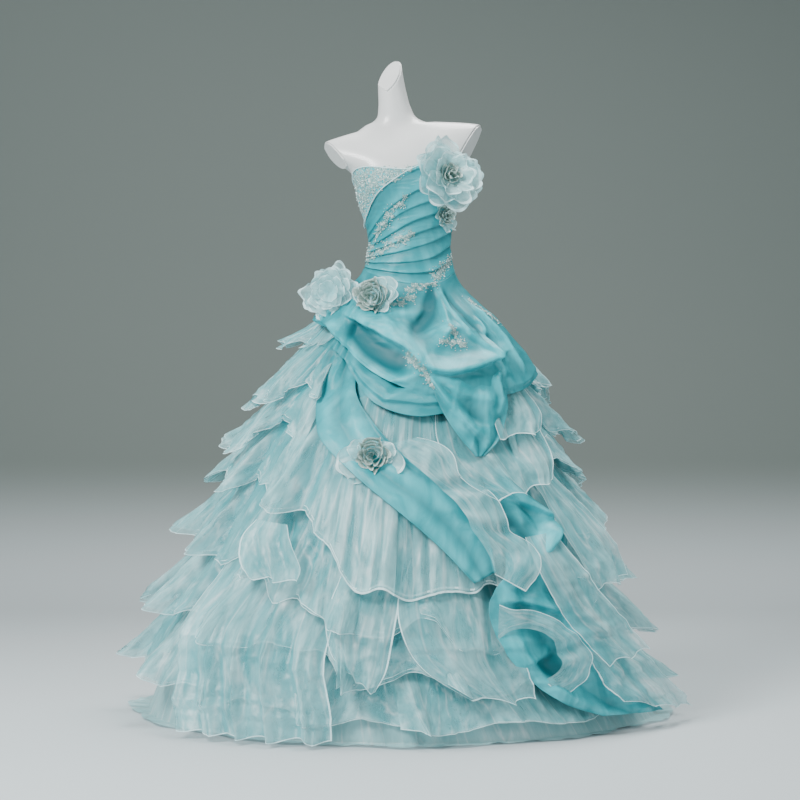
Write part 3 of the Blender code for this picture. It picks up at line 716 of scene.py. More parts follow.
def satin_material():
    found = bpy.data.materials.get("duchess_satin")
    if found:
        return found
    colour = bpy.context.scene.gown_colours.satin
    made, shader = cloth_material("duchess_satin", 0.35, 0.02, specular=0.42, anisotropy=0.35)
    crease = effect(made, "crease", Scale=9.0, Stretch=0.5)
    weave = effect(made, "weave", Threads_a_metre=5200.0)
    # Streaks of tone whose light end is paler and whiter: partly random tone and partly painted sheen.
    tone = mix_colour(made, crease.outputs["Streak"], shade(colour, 0.95), towards(shade(colour, 1.4), (0.5, 0.8, 0.85), 0.12))
    # Painted shade: a deep teal in the folds' valleys.
    tone, hollow = paint_fold_shade(made, (0, colour[1] * 0.34, colour[2] * 0.36), tone)
    made.node_tree.links.new(tone, shader.inputs["Base Color"])
    dull = made.node_tree.nodes.new("ShaderNodeMapRange")
    dull.inputs["From Min"].default_value = 0.3
    dull.inputs["To Min"].default_value = 0.33
    dull.inputs["To Max"].default_value = 0.5
    made.node_tree.links.new(hollow, dull.inputs["Value"])
    made.node_tree.links.new(dull.outputs[0], shader.inputs["Roughness"])
    relief(made, shader, [(crease.outputs["Height"], 0.0022), (weave.outputs["Height"], 0.00004)])
    return made


def organza_material(name="crisp_organza", alpha=(0.34, 0.80), pale=0.0):
    found = bpy.data.materials.get(name)
    if found:
        return found
    colour = towards(bpy.context.scene.gown_colours.organza, (0.72, 1.0, 1.0), pale)
    made, shader = cloth_material(name, 0.30, 0.12, specular=0.9)
    link = made.node_tree.links.new
    crease = effect(made, "crease", Scale=9.0, Stretch=0.6)
    brushed = effect(made, "brushed", Scale=38.0, Stretch=0.22)
    weave = effect(made, "weave", Threads_a_metre=4200.0)
    # Painted shade: a satin-like teal in the folds' valleys, standing in for their shadow and the layers seen
    # through.
    deep = towards(bpy.context.scene.gown_colours.satin, colour, 0.15 + 0.6 * pale)
    shine = made.node_tree.nodes.new("ShaderNodeMix")
    shine.inputs["Factor"].default_value = 0.6
    link(crease.outputs["Streak"], shine.inputs["A"])
    link(brushed.outputs["Streak"], shine.inputs["B"])
    # Painted sheen: the streaks run from a darker tone to a whiter one where threads would catch the light.
    tone = mix_colour(made, shine.outputs["Result"], shade(colour, 0.60 + 0.4 * pale), towards(colour, (0.84, 1, 1), 0.5))
    tone, hollow = paint_fold_shade(made, deep, tone)
    # Painted highlights: thin pale lines along the straight creases.
    crease_highlight = made.node_tree.nodes.new("ShaderNodeMix")
    crease_highlight.data_type = "RGBA"
    link(brushed.outputs["Line"], crease_highlight.inputs["Factor"])
    link(tone, crease_highlight.inputs["A"])
    crease_highlight.inputs["B"].default_value = (*towards(colour, (1, 1, 1), 0.6), 1)
    link(crease_highlight.outputs["Result"], shader.inputs["Base Color"])
    facing = made.node_tree.nodes.new("ShaderNodeLayerWeight")
    facing.inputs["Blend"].default_value = 0.35
    mask = made.node_tree.nodes.new("ShaderNodeMath")
    mask.operation = "MULTIPLY_ADD"
    link(shine.outputs["Result"], mask.inputs[0])
    mask.inputs[1].default_value = 0.3
    link(facing.outputs["Facing"], mask.inputs[2])
    solid = made.node_tree.nodes.new("ShaderNodeMapRange")
    solid.inputs["To Min"].default_value = alpha[0]
    solid.inputs["To Max"].default_value = alpha[1]
    link(mask.outputs[0], solid.inputs["Value"])
    link(solid.outputs[0], shader.inputs["Alpha"])
    relief(made, shader, [
        (crease.outputs["Height"], 0.010), (brushed.outputs["Height"], 0.0045),
        (brushed.outputs["Streak"], 0.0006), (weave.outputs["Height"], 0.00004),
    ])
    return made


def hem_material():
    found = bpy.data.materials.get("rolled_hem")
    if found:
        return found
    colour = towards(bpy.context.scene.gown_colours.organza, (1, 1, 1), 0.55)
    made, shader = cloth_material("rolled_hem", 0.4, 0.5, specular=0.6)
    weave = effect(made, "weave", Threads_a_metre=3000.0)
    tone = mix_colour(made, weave.outputs["Height"], colour, shade(colour, 0.93))
    made.node_tree.links.new(tone, shader.inputs["Base Color"])
    shader.inputs["Alpha"].default_value = 0.92
    relief(made, shader, [(weave.outputs["Height"], 0.0001)])
    return made


def lining_material():
    found = bpy.data.materials.get("skirt_lining")
    if found:
        return found
    colour = bpy.context.scene.gown_colours.lining
    made, shader = cloth_material("skirt_lining", 0.6, 0.2)
    crease = effect(made, "crease", Scale=6.0, Stretch=0.25)
    weave = effect(made, "weave", Threads_a_metre=3000.0)
    tone = mix_colour(made, crease.outputs["Streak"], shade(colour, 0.85), shade(colour, 1.1))
    made.node_tree.links.new(tone, shader.inputs["Base Color"])
    relief(made, shader, [(crease.outputs["Height"], 0.004), (weave.outputs["Height"], 0.00005)])
    return made


def lace_material():
    found = bpy.data.materials.get("corded_lace")
    if found:
        return found
    satin = bpy.context.scene.gown_colours.satin
    made, shader = cloth_material("corded_lace", 0.55, 0.3)
    link = made.node_tree.links.new
    coords = made.node_tree.nodes.new("ShaderNodeTexCoord")
    cells = made.node_tree.nodes.new("ShaderNodeTexVoronoi")
    cells.feature = "DISTANCE_TO_EDGE"
    cells.inputs["Scale"].default_value = 120
    link(coords.outputs["Object"], cells.inputs["Vector"])
    cords = made.node_tree.nodes.new("ShaderNodeMapRange")
    cords.inputs["From Min"].default_value = 0.02
    cords.inputs["From Max"].default_value = 0.16
    cords.inputs["To Min"].default_value = 1
    cords.inputs["To Max"].default_value = 0
    link(cells.outputs["Distance"], cords.inputs["Value"])
    tone = mix_colour(made, cords.outputs[0], shade(satin, 1.15), (0.48, 0.62, 0.60))
    link(tone, shader.inputs["Base Color"])
    relief(made, shader, [(cords.outputs[0], 0.0012)])
    return made


def form_material():
    found = bpy.data.materials.get("moulded_form")
    if found:
        return found
    made, shader = cloth_material("moulded_form", 0.32, 0.0, specular=0.5, coat=0.15)
    crease = effect(made, "crease", Scale=5.0, Stretch=1.0)
    tone = mix_colour(made, crease.outputs["Streak"], (0.70, 0.72, 0.71), (0.74, 0.76, 0.75))
    made.node_tree.links.new(tone, shader.inputs["Base Color"])
    relief(made, shader, [(crease.outputs["Height"], 0.0002)])
    return made


def metal_material():
    made, shader = cloth_material("satin_paint", 0.35, 0.0, specular=0.6)
    crease = effect(made, "crease", Scale=30.0, Stretch=1.0)
    tone = mix_colour(made, crease.outputs["Streak"], (0.55, 0.55, 0.57), (0.62, 0.62, 0.64))
    made.node_tree.links.new(tone, shader.inputs["Base Color"])
    relief(made, shader, [(crease.outputs["Height"], 0.0001)])
    return made


# Dress form and stand.


def cut_facing(cut):
    """The direction that a cut looks in: out of the body and turned a little to the front."""
    run = Vector((cut.lower[0] - cut.upper[0], 0, cut.lower[1] - cut.upper[1])).normalized()
    across = Vector((run.z, 0, -run.x))
    if across.dot(Vector((cut.upper[0], 0, cut.upper[1] - 1.4))) < 0:
        across.negate()
    turned = math.radians(cut.turned)
    return run, across * math.cos(turned) + Vector((0, -1, 0)) * math.sin(turned)


def form_mesh():
    """The smooth torso, cut flat where its arms and head would start."""
    columns, rows = 120, 150
    low, high = FORM[0].z, FORM[-1].z
    bm = bmesh.new()
    bmesh.ops.create_grid(bm, x_segments=columns, y_segments=rows, size=0.5)
    for vert in bm.verts:
        theta = 2 * math.pi * (vert.co.x + 0.5)
        vert.co = body_point(theta, mix(low, high, vert.co.y + 0.5), 0)
    bmesh.ops.remove_doubles(bm, verts=bm.verts, dist=1e-5)
    bmesh.ops.holes_fill(bm, edges=[e for e in bm.edges if e.is_boundary], sides=0)
    bm.normal_update()
    bmesh.ops.recalc_face_normals(bm, faces=bm.faces)
    made = bpy.data.objects.new("form", mesh_from("form", bm))
    bpy.context.scene.collection.objects.link(made)
    for cut in FORM_CUTS:
        run, facing = cut_facing(cut)
        middle = Vector((
            (cut.upper[0] + cut.lower[0]) / 2, FORM_CUT_Y, (cut.upper[1] + cut.lower[1]) / 2
        ))
        carve(made, run, facing, middle, math.dist(cut.upper, cut.lower))
    edge = made.modifiers.new("edge", "BEVEL")
    edge.width = 0.0012
    edge.segments = 2
    edge.limit_method = "ANGLE"
    edge.angle_limit = math.radians(35)
    apply_modifiers(made)
    mesh = made.data
    bpy.data.objects.remove(made)
    mesh.shade_smooth()
    mesh.set_sharp_from_angle(angle=math.radians(50))
    return mesh


def carve(made, run, facing, middle, length):
    """Takes off what stands beyond a cut, with a box whose inner face is the cut."""
    bm = bmesh.new()
    bmesh.ops.create_cube(bm, size=1)
    side = facing.cross(run).normalized()
    run = side.cross(facing).normalized()
    spread = (CUTTER_DEPTH, length + CUTTER_MARGIN, CUTTER_WIDTH)
    for vert in bm.verts:
        out, down, wide = (c * size for c, size in zip(vert.co, spread))
        along_run = down - CUTTER_MARGIN / 2
        vert.co = middle + facing * (out + CUTTER_DEPTH / 2) + run * along_run + side * wide
    bm.normal_update()
    bmesh.ops.recalc_face_normals(bm, faces=bm.faces)
    cutter = bpy.data.objects.new("cutter", mesh_from("cutter", bm))
    bpy.context.scene.collection.objects.link(cutter)
    cut = made.modifiers.new("cut", "BOOLEAN")
    cut.operation = "DIFFERENCE"
    cut.solver = "EXACT"
    cut.object = cutter
    apply_modifiers(made)
    bpy.data.objects.remove(cutter)


def apply_modifiers(made):
    graph = bpy.context.evaluated_depsgraph_get()
    mesh = bpy.data.meshes.new_from_object(made.evaluated_get(graph))
    made.modifiers.clear()
    made.data = mesh


class GOWN_OT_form(bpy.types.Operator):
    """Builds the smooth dress form and finishes its stand."""

    bl_idname = "gown.form"
    bl_label = "Dress form"

    def execute(self, context):
        form = add_piece("form_body", form_mesh(), "form_white", form_material())
        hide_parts("form_torso")
        nodes = frame["nodes"]
        for name in ("form_arm_cap_left", "form_arm_cap_right", "form_neck_cap"):
            nodes[name].material_slots[0].material = form_material()
        metal = metal_material()
        for name in ("stand_base", "stand_pole"):
            nodes[name].material_slots[0].material = metal
        return {"FINISHED"}


# Bodice.


def wrap_pleat(u, v):
    """The pleats' outer form: each lies over the next, crisp above and easing below."""
    gather = mix(1.65, 0.95, u)
    at = WRAP_PLEATS * v**gather + 0.30 * noise.noise(Vector((2.5 * u, 3.5 * v, 6.0)))
    t = at - math.floor(at)
    return smooth(t / 0.86) ** 0.8 * (1 - smooth((t - 0.9) / 0.1))


def bodice_points(top, bottom):
    def place(u, v):
        theta = mix(-SIDE_SEAM, SIDE_SEAM, u) * 0.996
        z = mix(edge_z(top, theta), edge_z(bottom, theta), v)
        fade = smooth(min(u, 1 - u) * 6 + 0.25)
        point = body_point(theta, z, BODICE_LIFT)
        small = 0.0016 * crumple(point, (16, 16, 50), 4.0)
        pleat = wrap_pleat(u, v)
        strong = 1.3 + 0.9 * noise.noise(Vector((2.0 * u, 5 * v, 9.0)))
        lift = strong * WRAP_PLEAT_DEPTH * fade * pleat + small
        # The second value is painted shade, deeper between the raised pleats.
        return body_point(theta, z, BODICE_LIFT + lift), min(1.0, 0.70 - 0.5 * pleat * fade)
    return place


class GOWN_OT_bodice(bpy.types.Operator):
    """Builds the pleated wrap, the lace cup, the back panels and the zip."""

    bl_idname = "gown.bodice"
    bl_label = "Bodice"

    def execute(self, context):
        satin = satin_material()
        size = (0.36, 0.27)
        mesh = cloth_mesh("wrap", 150, 190, bodice_points(WRAP_TOP, BASQUE), size)
        wrap = add_piece("bodice_wrap_satin", mesh, "satin", satin)
        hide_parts("bodice_wrap")
        declare_cut(wrap, 0.40, 0.36)
        give_wall(wrap, 0.0014)
        cup = add_piece("bodice_cup_lace", cloth_mesh("cup", 70, 50, lace_cup, (0.2, 0.12)),
                        "beaded_lace", lace_material())
        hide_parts("bodice_cup")
        declare_cut(cup, 0.21, 0.14)
        give_wall(cup, 0.0014)
        for side, name in ((-1, "bodice_back_left"), (1, "bodice_back_right")):
            mesh = cloth_mesh(name, 60, 60, back_panel(side), (0.17, 0.24))
            back = add_piece(f"{name}_satin", mesh, "satin", satin)
            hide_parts(name)
            declare_cut(back, 0.19, 0.27)
            give_wall(back, 0.0014)
        add_zip(satin)
        return {"FINISHED"}


ZIP_HALF = math.radians(3.2)
CUP_END = mix(-SIDE_SEAM, SIDE_SEAM, 9 / 16) * 0.996


def lace_cup(u, v):
    theta = mix(-SIDE_SEAM * 0.996, CUP_END, u)
    low = edge_z(WRAP_TOP, theta) + 0.0022
    high = max(edge_z(NECKLINE, theta), low + 0.002)
    return body_point(theta, mix(high, low, v), BODICE_LIFT)


def back_panel(side):
    def place(u, v):
        theta = side * mix(SIDE_SEAM * 1.004, math.pi - ZIP_HALF, u)
        z = mix(edge_z(NECKLINE, theta), edge_z(BASQUE, theta), v)
        point = body_point(theta, z, BODICE_LIFT)
        pull = 0.0012 * crumple(point, (10, 10, 26), 8.0) * smooth(min(u, 1 - u) * 5)
        return body_point(theta, z, BODICE_LIFT + pull)
    return place


def add_zip(satin):
    """The covered centre-back closing: two lips that meet over a concealed zip."""
    def strip(u, v):
        theta = math.pi + mix(-ZIP_HALF, ZIP_HALF, u) * 0.93
        z = mix(edge_z(NECKLINE, math.pi), edge_z(BASQUE, math.pi), v)
        lip = 0.0009 * (1 - math.exp(-((u - 0.5) / 0.06) ** 2))
        return body_point(theta, z, BODICE_LIFT - 0.0009 + lip)

    made = add_piece("back_zip_satin", cloth_mesh("zip", 24, 60, strip, (0.02, 0.23)), "satin", satin)
    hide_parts("back_zip")
    declare_cut(made, 0.02, 0.24)
    give_wall(made, 0.001)


# Underskirt, ruffles and floor flounce.


RUFFLE_REACH = {"ruffle_1": (62, 322), "ruffle_2": (50, 321), "ruffle_3": (44, 323)}
SATIN_MARGIN = 4.0
cover_maps = {}


def satin_cover(theta, z, lowest=0):
    """The height that clears the CAD model's ruffles from one downwards, on the front half."""
    if lowest not in cover_maps:
        cover_maps[lowest] = CoverMap(math.radians(-80), math.radians(82), 0.03, 1.12, lowest)
    return cover_maps[lowest](theta, z)


def under_satin(theta, z):
    """0 to 1: how far inside the satin's outline a place on the skirt is."""
    degrees = math.degrees(math.remainder(theta, 2 * math.pi))
    if abs(degrees) > 76:
        return 0.0
    inside = 0.0
    if z > min(edge_z(OVERSKIRT_HEM, math.radians(degrees)), 0.95) - 0.02:
        inside = 1.0
    for rows in (LEAF_PANEL, RIGHT_PANEL, CASCADE):
        if rows[-1].z1 - 0.03 < z < rows[0].z1 + 0.03:
            low, high = (along(list(reversed(rows)), z, column, "z1") for column in ("a1", "a2"))
            off = min(degrees - low, high - degrees) + SATIN_MARGIN
            inside = max(inside, smooth(off / SATIN_MARGIN))
    return inside


def swayed(theta, seed, low, high):
    """A value between low and high that wanders round the skirt and closes on itself."""
    at = Vector((1.9 * math.sin(theta), 1.9 * math.cos(theta), seed))
    return mix(low, high, min(1.0, max(0.0, 0.5 + 0.95 * noise.noise(at))))


def scene_calm(theta, index):
    """How freely a ruffle flutes: the satin panels lie on the upper ones, the train on all."""
    over_train = abs(math.remainder(theta - math.radians(42), 2 * math.pi)) / math.radians(30)
    lower = mix(0.35, 1.0, smooth((over_train - 0.5) / 0.8))
    if index >= 4:
        return lower
    return min(lower, mix(0.45, 1.0, smooth((abs(theta_off(theta)) / CALM_HALF_WIDTH - 0.55) / 0.9)))


def theta_off(theta):
    return math.remainder(theta - CALM_FRONT, 2 * math.pi)


def ruffle_points(index, ply=0):
    """Where a ruffle's cloth lies. Its second ply hangs a little inside the first."""
    row = RUFFLES[index]
    above = RUFFLES[index - 1] if index else None
    open_ends = row.end - row.start < 360
    first, last = (math.radians(a) for a in RUFFLE_REACH.get(row.name, (row.start, row.end)))
    depth = bpy.context.scene.gown_sizes.crumple
    seed = 10.0 + index

    def place(u, v):
        theta = mix(first, last, u)
        free = scene_calm(theta, index)
        strong = swayed(theta, seed, 0.55, 1.75) * free
        phase = 2 * math.pi * row.waves * u + index + swayed(theta, seed + 3, -1.3, 1.3)
        phase += 0.25 * ply
        turn = theta + 0.052 * strong * math.sin(phase + 1.2) * v**1.4 * (0 < u < 1)
        hem = ruffle_hem(row, turn) + swayed(turn * 2, seed + 5, -0.03, 0.03) * hem_room(row, turn)
        hem += swayed(turn * 4, seed + 8, -0.022, 0.022) * hem_room(row, turn)
        top = ruffle_hem(above, turn) + RUFFLE_OVERLAP if above else RUFFLE_TOP_Z
        tuck = smooth(min(u, 1 - u) * TUCK_SHARE) if open_ends else 1.0
        wave = math.sin(phase) + SECOND_WAVE * math.sin(2 * phase + 0.8 * row.waves)
        wave += 0.35 * math.sin(3.0 * phase + 1.9 * index) * (1 - 0.5 * v)
        seated = RUFFLE_TOP_LIFT * smooth(v * 8 + 0.1) + WALL
        lift = seated + row.flare * v**FLARE_GROWTH + 1.45 * row.flute * strong * v * wave
        lift = mix(seated + TUCKED_FLARE * v, lift, tuck)
        dip = (0.016 * strong * math.cos(phase + 0.5) + 0.008 * ply) * v * hem_room(row, turn)
        z = mix(top, hem, v) + dip
        around = skirt_point(turn, z, 0)
        crease = crumple(around, (11, 11, 6), seed)
        round_skirt = Vector((math.sin(turn) * 11, math.cos(turn) * 11, 0))
        fold = crumple(round_skirt, (1, 1, 1), seed + 20 + 1.1 * v)
        pull = crumple(round_skirt, (2.6, 2.6, 1), seed + 40 + 0.9 * v)
        small = depth * (1.1 * crease + 0.5 * pull) + FOLD_DEPTH * (fold - 0.35) * (0.4 + 0.6 * free)
        lift += small * smooth(v * 3) * (0.5 + 0.5 * v)
        lift += 0.004 * math.sin(5.3 * phase + 5 * crease) * smooth((v - 0.75) / 0.25) * strong
        lift = max(lift, 0.004 + 0.014 * v) - 0.004 * ply * smooth(v * 3)
        hidden = under_satin(turn, z)
        if hidden:
            lift = mix(lift, min(lift, satin_cover(turn, z) - 0.003), hidden)
        # Painted shade: deeper in the flutes' valleys and creases and near the top, under the tier above.
        fold_shade = 0.60 - 0.40 * (fold - 0.3) - 0.26 * wave * strong - 0.5 * (v - 0.5) - 0.3 * (crease - 0.4)
        return skirt_point(turn, max(z, FLOOR_GAP + 0.001), lift), min(1.0, max(0.0, fold_shade))

    return place


FOLD_DEPTH = 0.024


def hem_room(row, theta):
    """How freely a hem may dip: less where it hangs just over the floor."""
    return min(1.0, max(0.25, ruffle_hem(row, theta) / 0.16))


def hem_length(mesh):
    """The whole length of a mesh's open border: for a closed ring, its top and lowest rows together."""
    bm = bmesh.new()
    bm.from_mesh(mesh)
    length = sum(e.calc_length() for e in bm.edges if e.is_boundary)
    bm.free()
    return length


class GOWN_OT_skirt(bpy.types.Operator):
    """Builds the underskirt, the organza ruffles and the flounce on the floor."""

    bl_idname = "gown.skirt"
    bl_label = "Ruffled skirt"

    def execute(self, context):
        sizes = context.scene.gown_sizes
        under = cloth_mesh("underskirt", 220, 90, underskirt_point, (3.0, 1.2), closed=True)
        lining = add_piece("underskirt_cloth", under, "lining", lining_material())
        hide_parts("underskirt")
        declare_cut(lining, 3.9, 1.25)
        give_wall(lining, 0.001)
        organza, hem = organza_material(), hem_material()
        for index, row in enumerate(RUFFLES):
            closed = row.end - row.start == 360
            share = (row.end - row.start) / 360
            radius = skirt_point(math.pi / 2, row.right, 0.06).x
            around = 2 * math.pi * radius * share * 1.35
            fall = 0.32
            columns = int(sizes.ruffle_columns * share)
            mesh = cloth_mesh(
                row.name, columns, sizes.ruffle_rows, with_hem_row(ruffle_points(index), sizes, fall, sizes.ruffle_rows),
                (around, fall), closed=closed, hem=1,
            )
            ruffle = add_piece(f"{row.name}_organza", mesh, "organza", organza, hem)
            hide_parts(row.name)
            declare_cut(ruffle, around, fall)
            inner = cloth_mesh(
                f"{row.name}_ply", int(columns * 0.8), sizes.ruffle_rows - 6,
                with_hem_row(ruffle_points(index, 1), sizes, fall, sizes.ruffle_rows - 6),
                (around, fall), closed=closed, hem=1,
            )
            ply = add_piece(f"{row.name}_second_ply", inner, "organza", organza, hem)
            declare_cut(ply, around, fall)
        flounce = cloth_mesh(
            "flounce", 560, 26, with_hem_row(flounce_point, sizes, 0.2, 26), (4.6, 0.25),
            closed=True, hem=1,
        )
        pale = organza_material("floor_tulle", alpha=(0.55, 0.85), pale=0.55)
        floor = add_piece("floor_flounce_tulle", flounce, "petticoat", pale, hem)
        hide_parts("floor_flounce")
        declare_cut(floor, 4.9, 0.3)
        return {"FINISHED"}


def with_hem_row(place, sizes, fall, rows):
    """Keeps the last row of faces as narrow as the rolled hem."""
    narrow = sizes.hem_width / fall

    def placed(u, v):
        last = 1 - 1 / rows
        v = v / last * (1 - narrow) if v <= last + 1e-6 else 1.0
        return place(u, v)

    return placed


def with_side_hems(place, sizes, width, columns):
    """Keeps the first and last column of faces as narrow as the rolled hem."""
    narrow = sizes.hem_width / width
    first = 1 / columns

    def placed(u, v):
        if first - 1e-6 <= u <= 1 - first + 1e-6:
            u = mix(narrow, 1 - narrow, (u - first) / (1 - 2 * first))
        return place(u, v)

    return placed


def underskirt_point(u, v):
    theta = 2 * math.pi * u
    top = edge_z(BASQUE, math.remainder(theta, 2 * math.pi)) - WAIST_GAP
    return skirt_point(theta, mix(top, 0.003, v), -0.0015 * smooth(v * 8))


def flounce_point(u, v):
    """The widest layer: it drops from under the last ruffle and lies out on the floor."""
    theta = 2 * math.pi * u
    lie = smooth((v - 0.62) / 0.38)
    corner = 1 - FLOUNCE_TAPER * abs(math.sin(2 * theta)) * (math.cos(theta) > 0)
    wave = FLOUNCE_WAVE * math.sin(FLOUNCE_WAVES * theta + 0.6)
    wave += 0.004 * math.sin(31 * theta + 2)
    lift = FLOUNCE_DROP * smooth(v * 1.6) + (FLOUNCE_SPREAD * corner + wave) * lie + 0.003
    z = mix(FLOUNCE_TOP + 0.05, FLOOR_GAP + WALL, smooth(v * 1.5))
    ripple = crumple(skirt_point(theta, z, lift), (14, 14, 5), 52.0)
    return skirt_point(theta, z + 0.006 * ripple * lie, lift + 0.004 * ripple)


# Satin overskirt.


Fold = namedtuple("Fold", "depth above below path")
OVERSKIRT_DRAPE = [
    Fold(0.023, 0.026, 0.006, ((-44, 1.018), (-17, 0.968), (-1, 0.927), (6, 0.885), (13, 0.868),
                               (19, 0.864), (29, 0.874), (41, 0.894), (62, 0.930))),
    Fold(0.020, 0.026, 0.010, ((-54, 0.990), (-40, 0.954), (-30, 0.905), (-22, 0.872), (-12, 0.848),
                               (-4, 0.832), (7, 0.822))),
    Fold(-0.022, 0.026, 0.026, ((-38, 0.985), (-25, 0.945), (-16, 0.915), (-8, 0.890), (2, 0.874))),
    Fold(0.010, 0.010, 0.016, ((8, 0.880), (2, 0.913), (-5, 0.945), (-12, 0.985))),
    Fold(0.008, 0.008, 0.010, ((7, 0.864), (0, 0.846), (-9, 0.838))),
    Fold(-0.022, 0.026, 0.022, ((27, 1.080), (15, 1.020), (7, 0.975), (-1, 0.955))),
    Fold(0.011, 0.014, 0.014, ((31, 1.090), (27, 1.030), (24, 0.978), (14, 0.925))),
    Fold(0.012, 0.012, 0.005, ((34, 1.103), (31, 1.026), (36, 0.960), (48, 0.905))),
    Fold(-0.012, 0.012, 0.010, ((37, 1.085), (40, 1.020), (45, 0.965), (56, 0.915))),
    Fold(0.014, 0.012, 0.006, ((50, 1.010), (46, 0.955), (46, 0.900), (50, 0.850))),
    Fold(0.012, 0.016, 0.006, ((58, 1.040), (60, 0.970), (60, 0.910), (62, 0.860))),
    Fold(0.008, 0.016, 0.012, ((-30, 1.002), (-7, 0.975), (6, 0.957), (20, 0.965), (38, 0.990))),
    Fold(0.007, 0.014, 0.010, ((-40, 1.050), (-16, 1.020), (6, 1.005), (22, 1.030))),
    Fold(0.012, 0.012, 0.006, ((-52, 1.060), (-60, 1.010), (-62, 0.985))),
]
SWAG_DRAPE = [
    Fold(0.012, 0.020, 0.006, ((-30, 0.905), (-20, 0.850), (-8, 0.800), (8, 0.790), (26, 0.800))),
    Fold(0.008, 0.012, 0.008, ((8, 0.850), (0, 0.820), (-9, 0.790))),
]
PANEL_DRAPE = [
    Fold(0.012, 0.020, 0.004, ((9, 0.868), (17, 0.791), (31, 0.697))),
    Fold(0.010, 0.018, 0.010, ((13, 0.858), (24, 0.812), (41, 0.790))),
    Fold(-0.008, 0.016, 0.012, ((14, 0.850), (22, 0.780), (36, 0.730))),
    Fold(0.010, 0.010, 0.010, ((49, 0.880), (43, 0.845), (44, 0.800), (40, 0.750))),
]
CASCADE_DRAPE = [
    Fold(0.020, 0.026, 0.007, ((29, 0.590), (38, 0.560), (50, 0.510))),
    Fold(0.024, 0.010, 0.022, ((49, 0.505), (44, 0.465), (37, 0.425), (30, 0.385), (25, 0.350))),
    Fold(-0.014, 0.016, 0.016, ((30, 0.520), (36, 0.490), (36, 0.455), (30, 0.420))),
    Fold(0.020, 0.020, 0.006, ((24, 0.330), (31, 0.325), (39, 0.300), (44, 0.262))),
    Fold(-0.018, 0.024, 0.024, ((31, 0.190), (34, 0.160), (37, 0.130))),
    Fold(0.018, 0.010, 0.018, ((26, 0.250), (28, 0.200), (32, 0.140), (38, 0.085))),
    Fold(0.022, 0.018, 0.008, ((43, 0.270), (47, 0.200), (51, 0.130), (58, 0.070))),
]
SCENE_RIGHT_PANEL = [
    Span(0, 9, 0.876, 45, 0.893, 0.026, 0.000),
    Span(1, 11, 0.830, 49, 0.850, 0.026, 0.004),
    Span(2, 14, 0.780, 47, 0.800, 0.020, 0.008),
    Span(3, 18, 0.730, 43, 0.742, 0.015, 0.008),
    Span(4, 22, 0.692, 37, 0.698, 0.013, 0.006),
    Span(5, 26, 0.660, 29, 0.662, 0.012, 0.002),
]
Panel = namedtuple("Panel", "name lengthwise size flutes lowest hems rows")
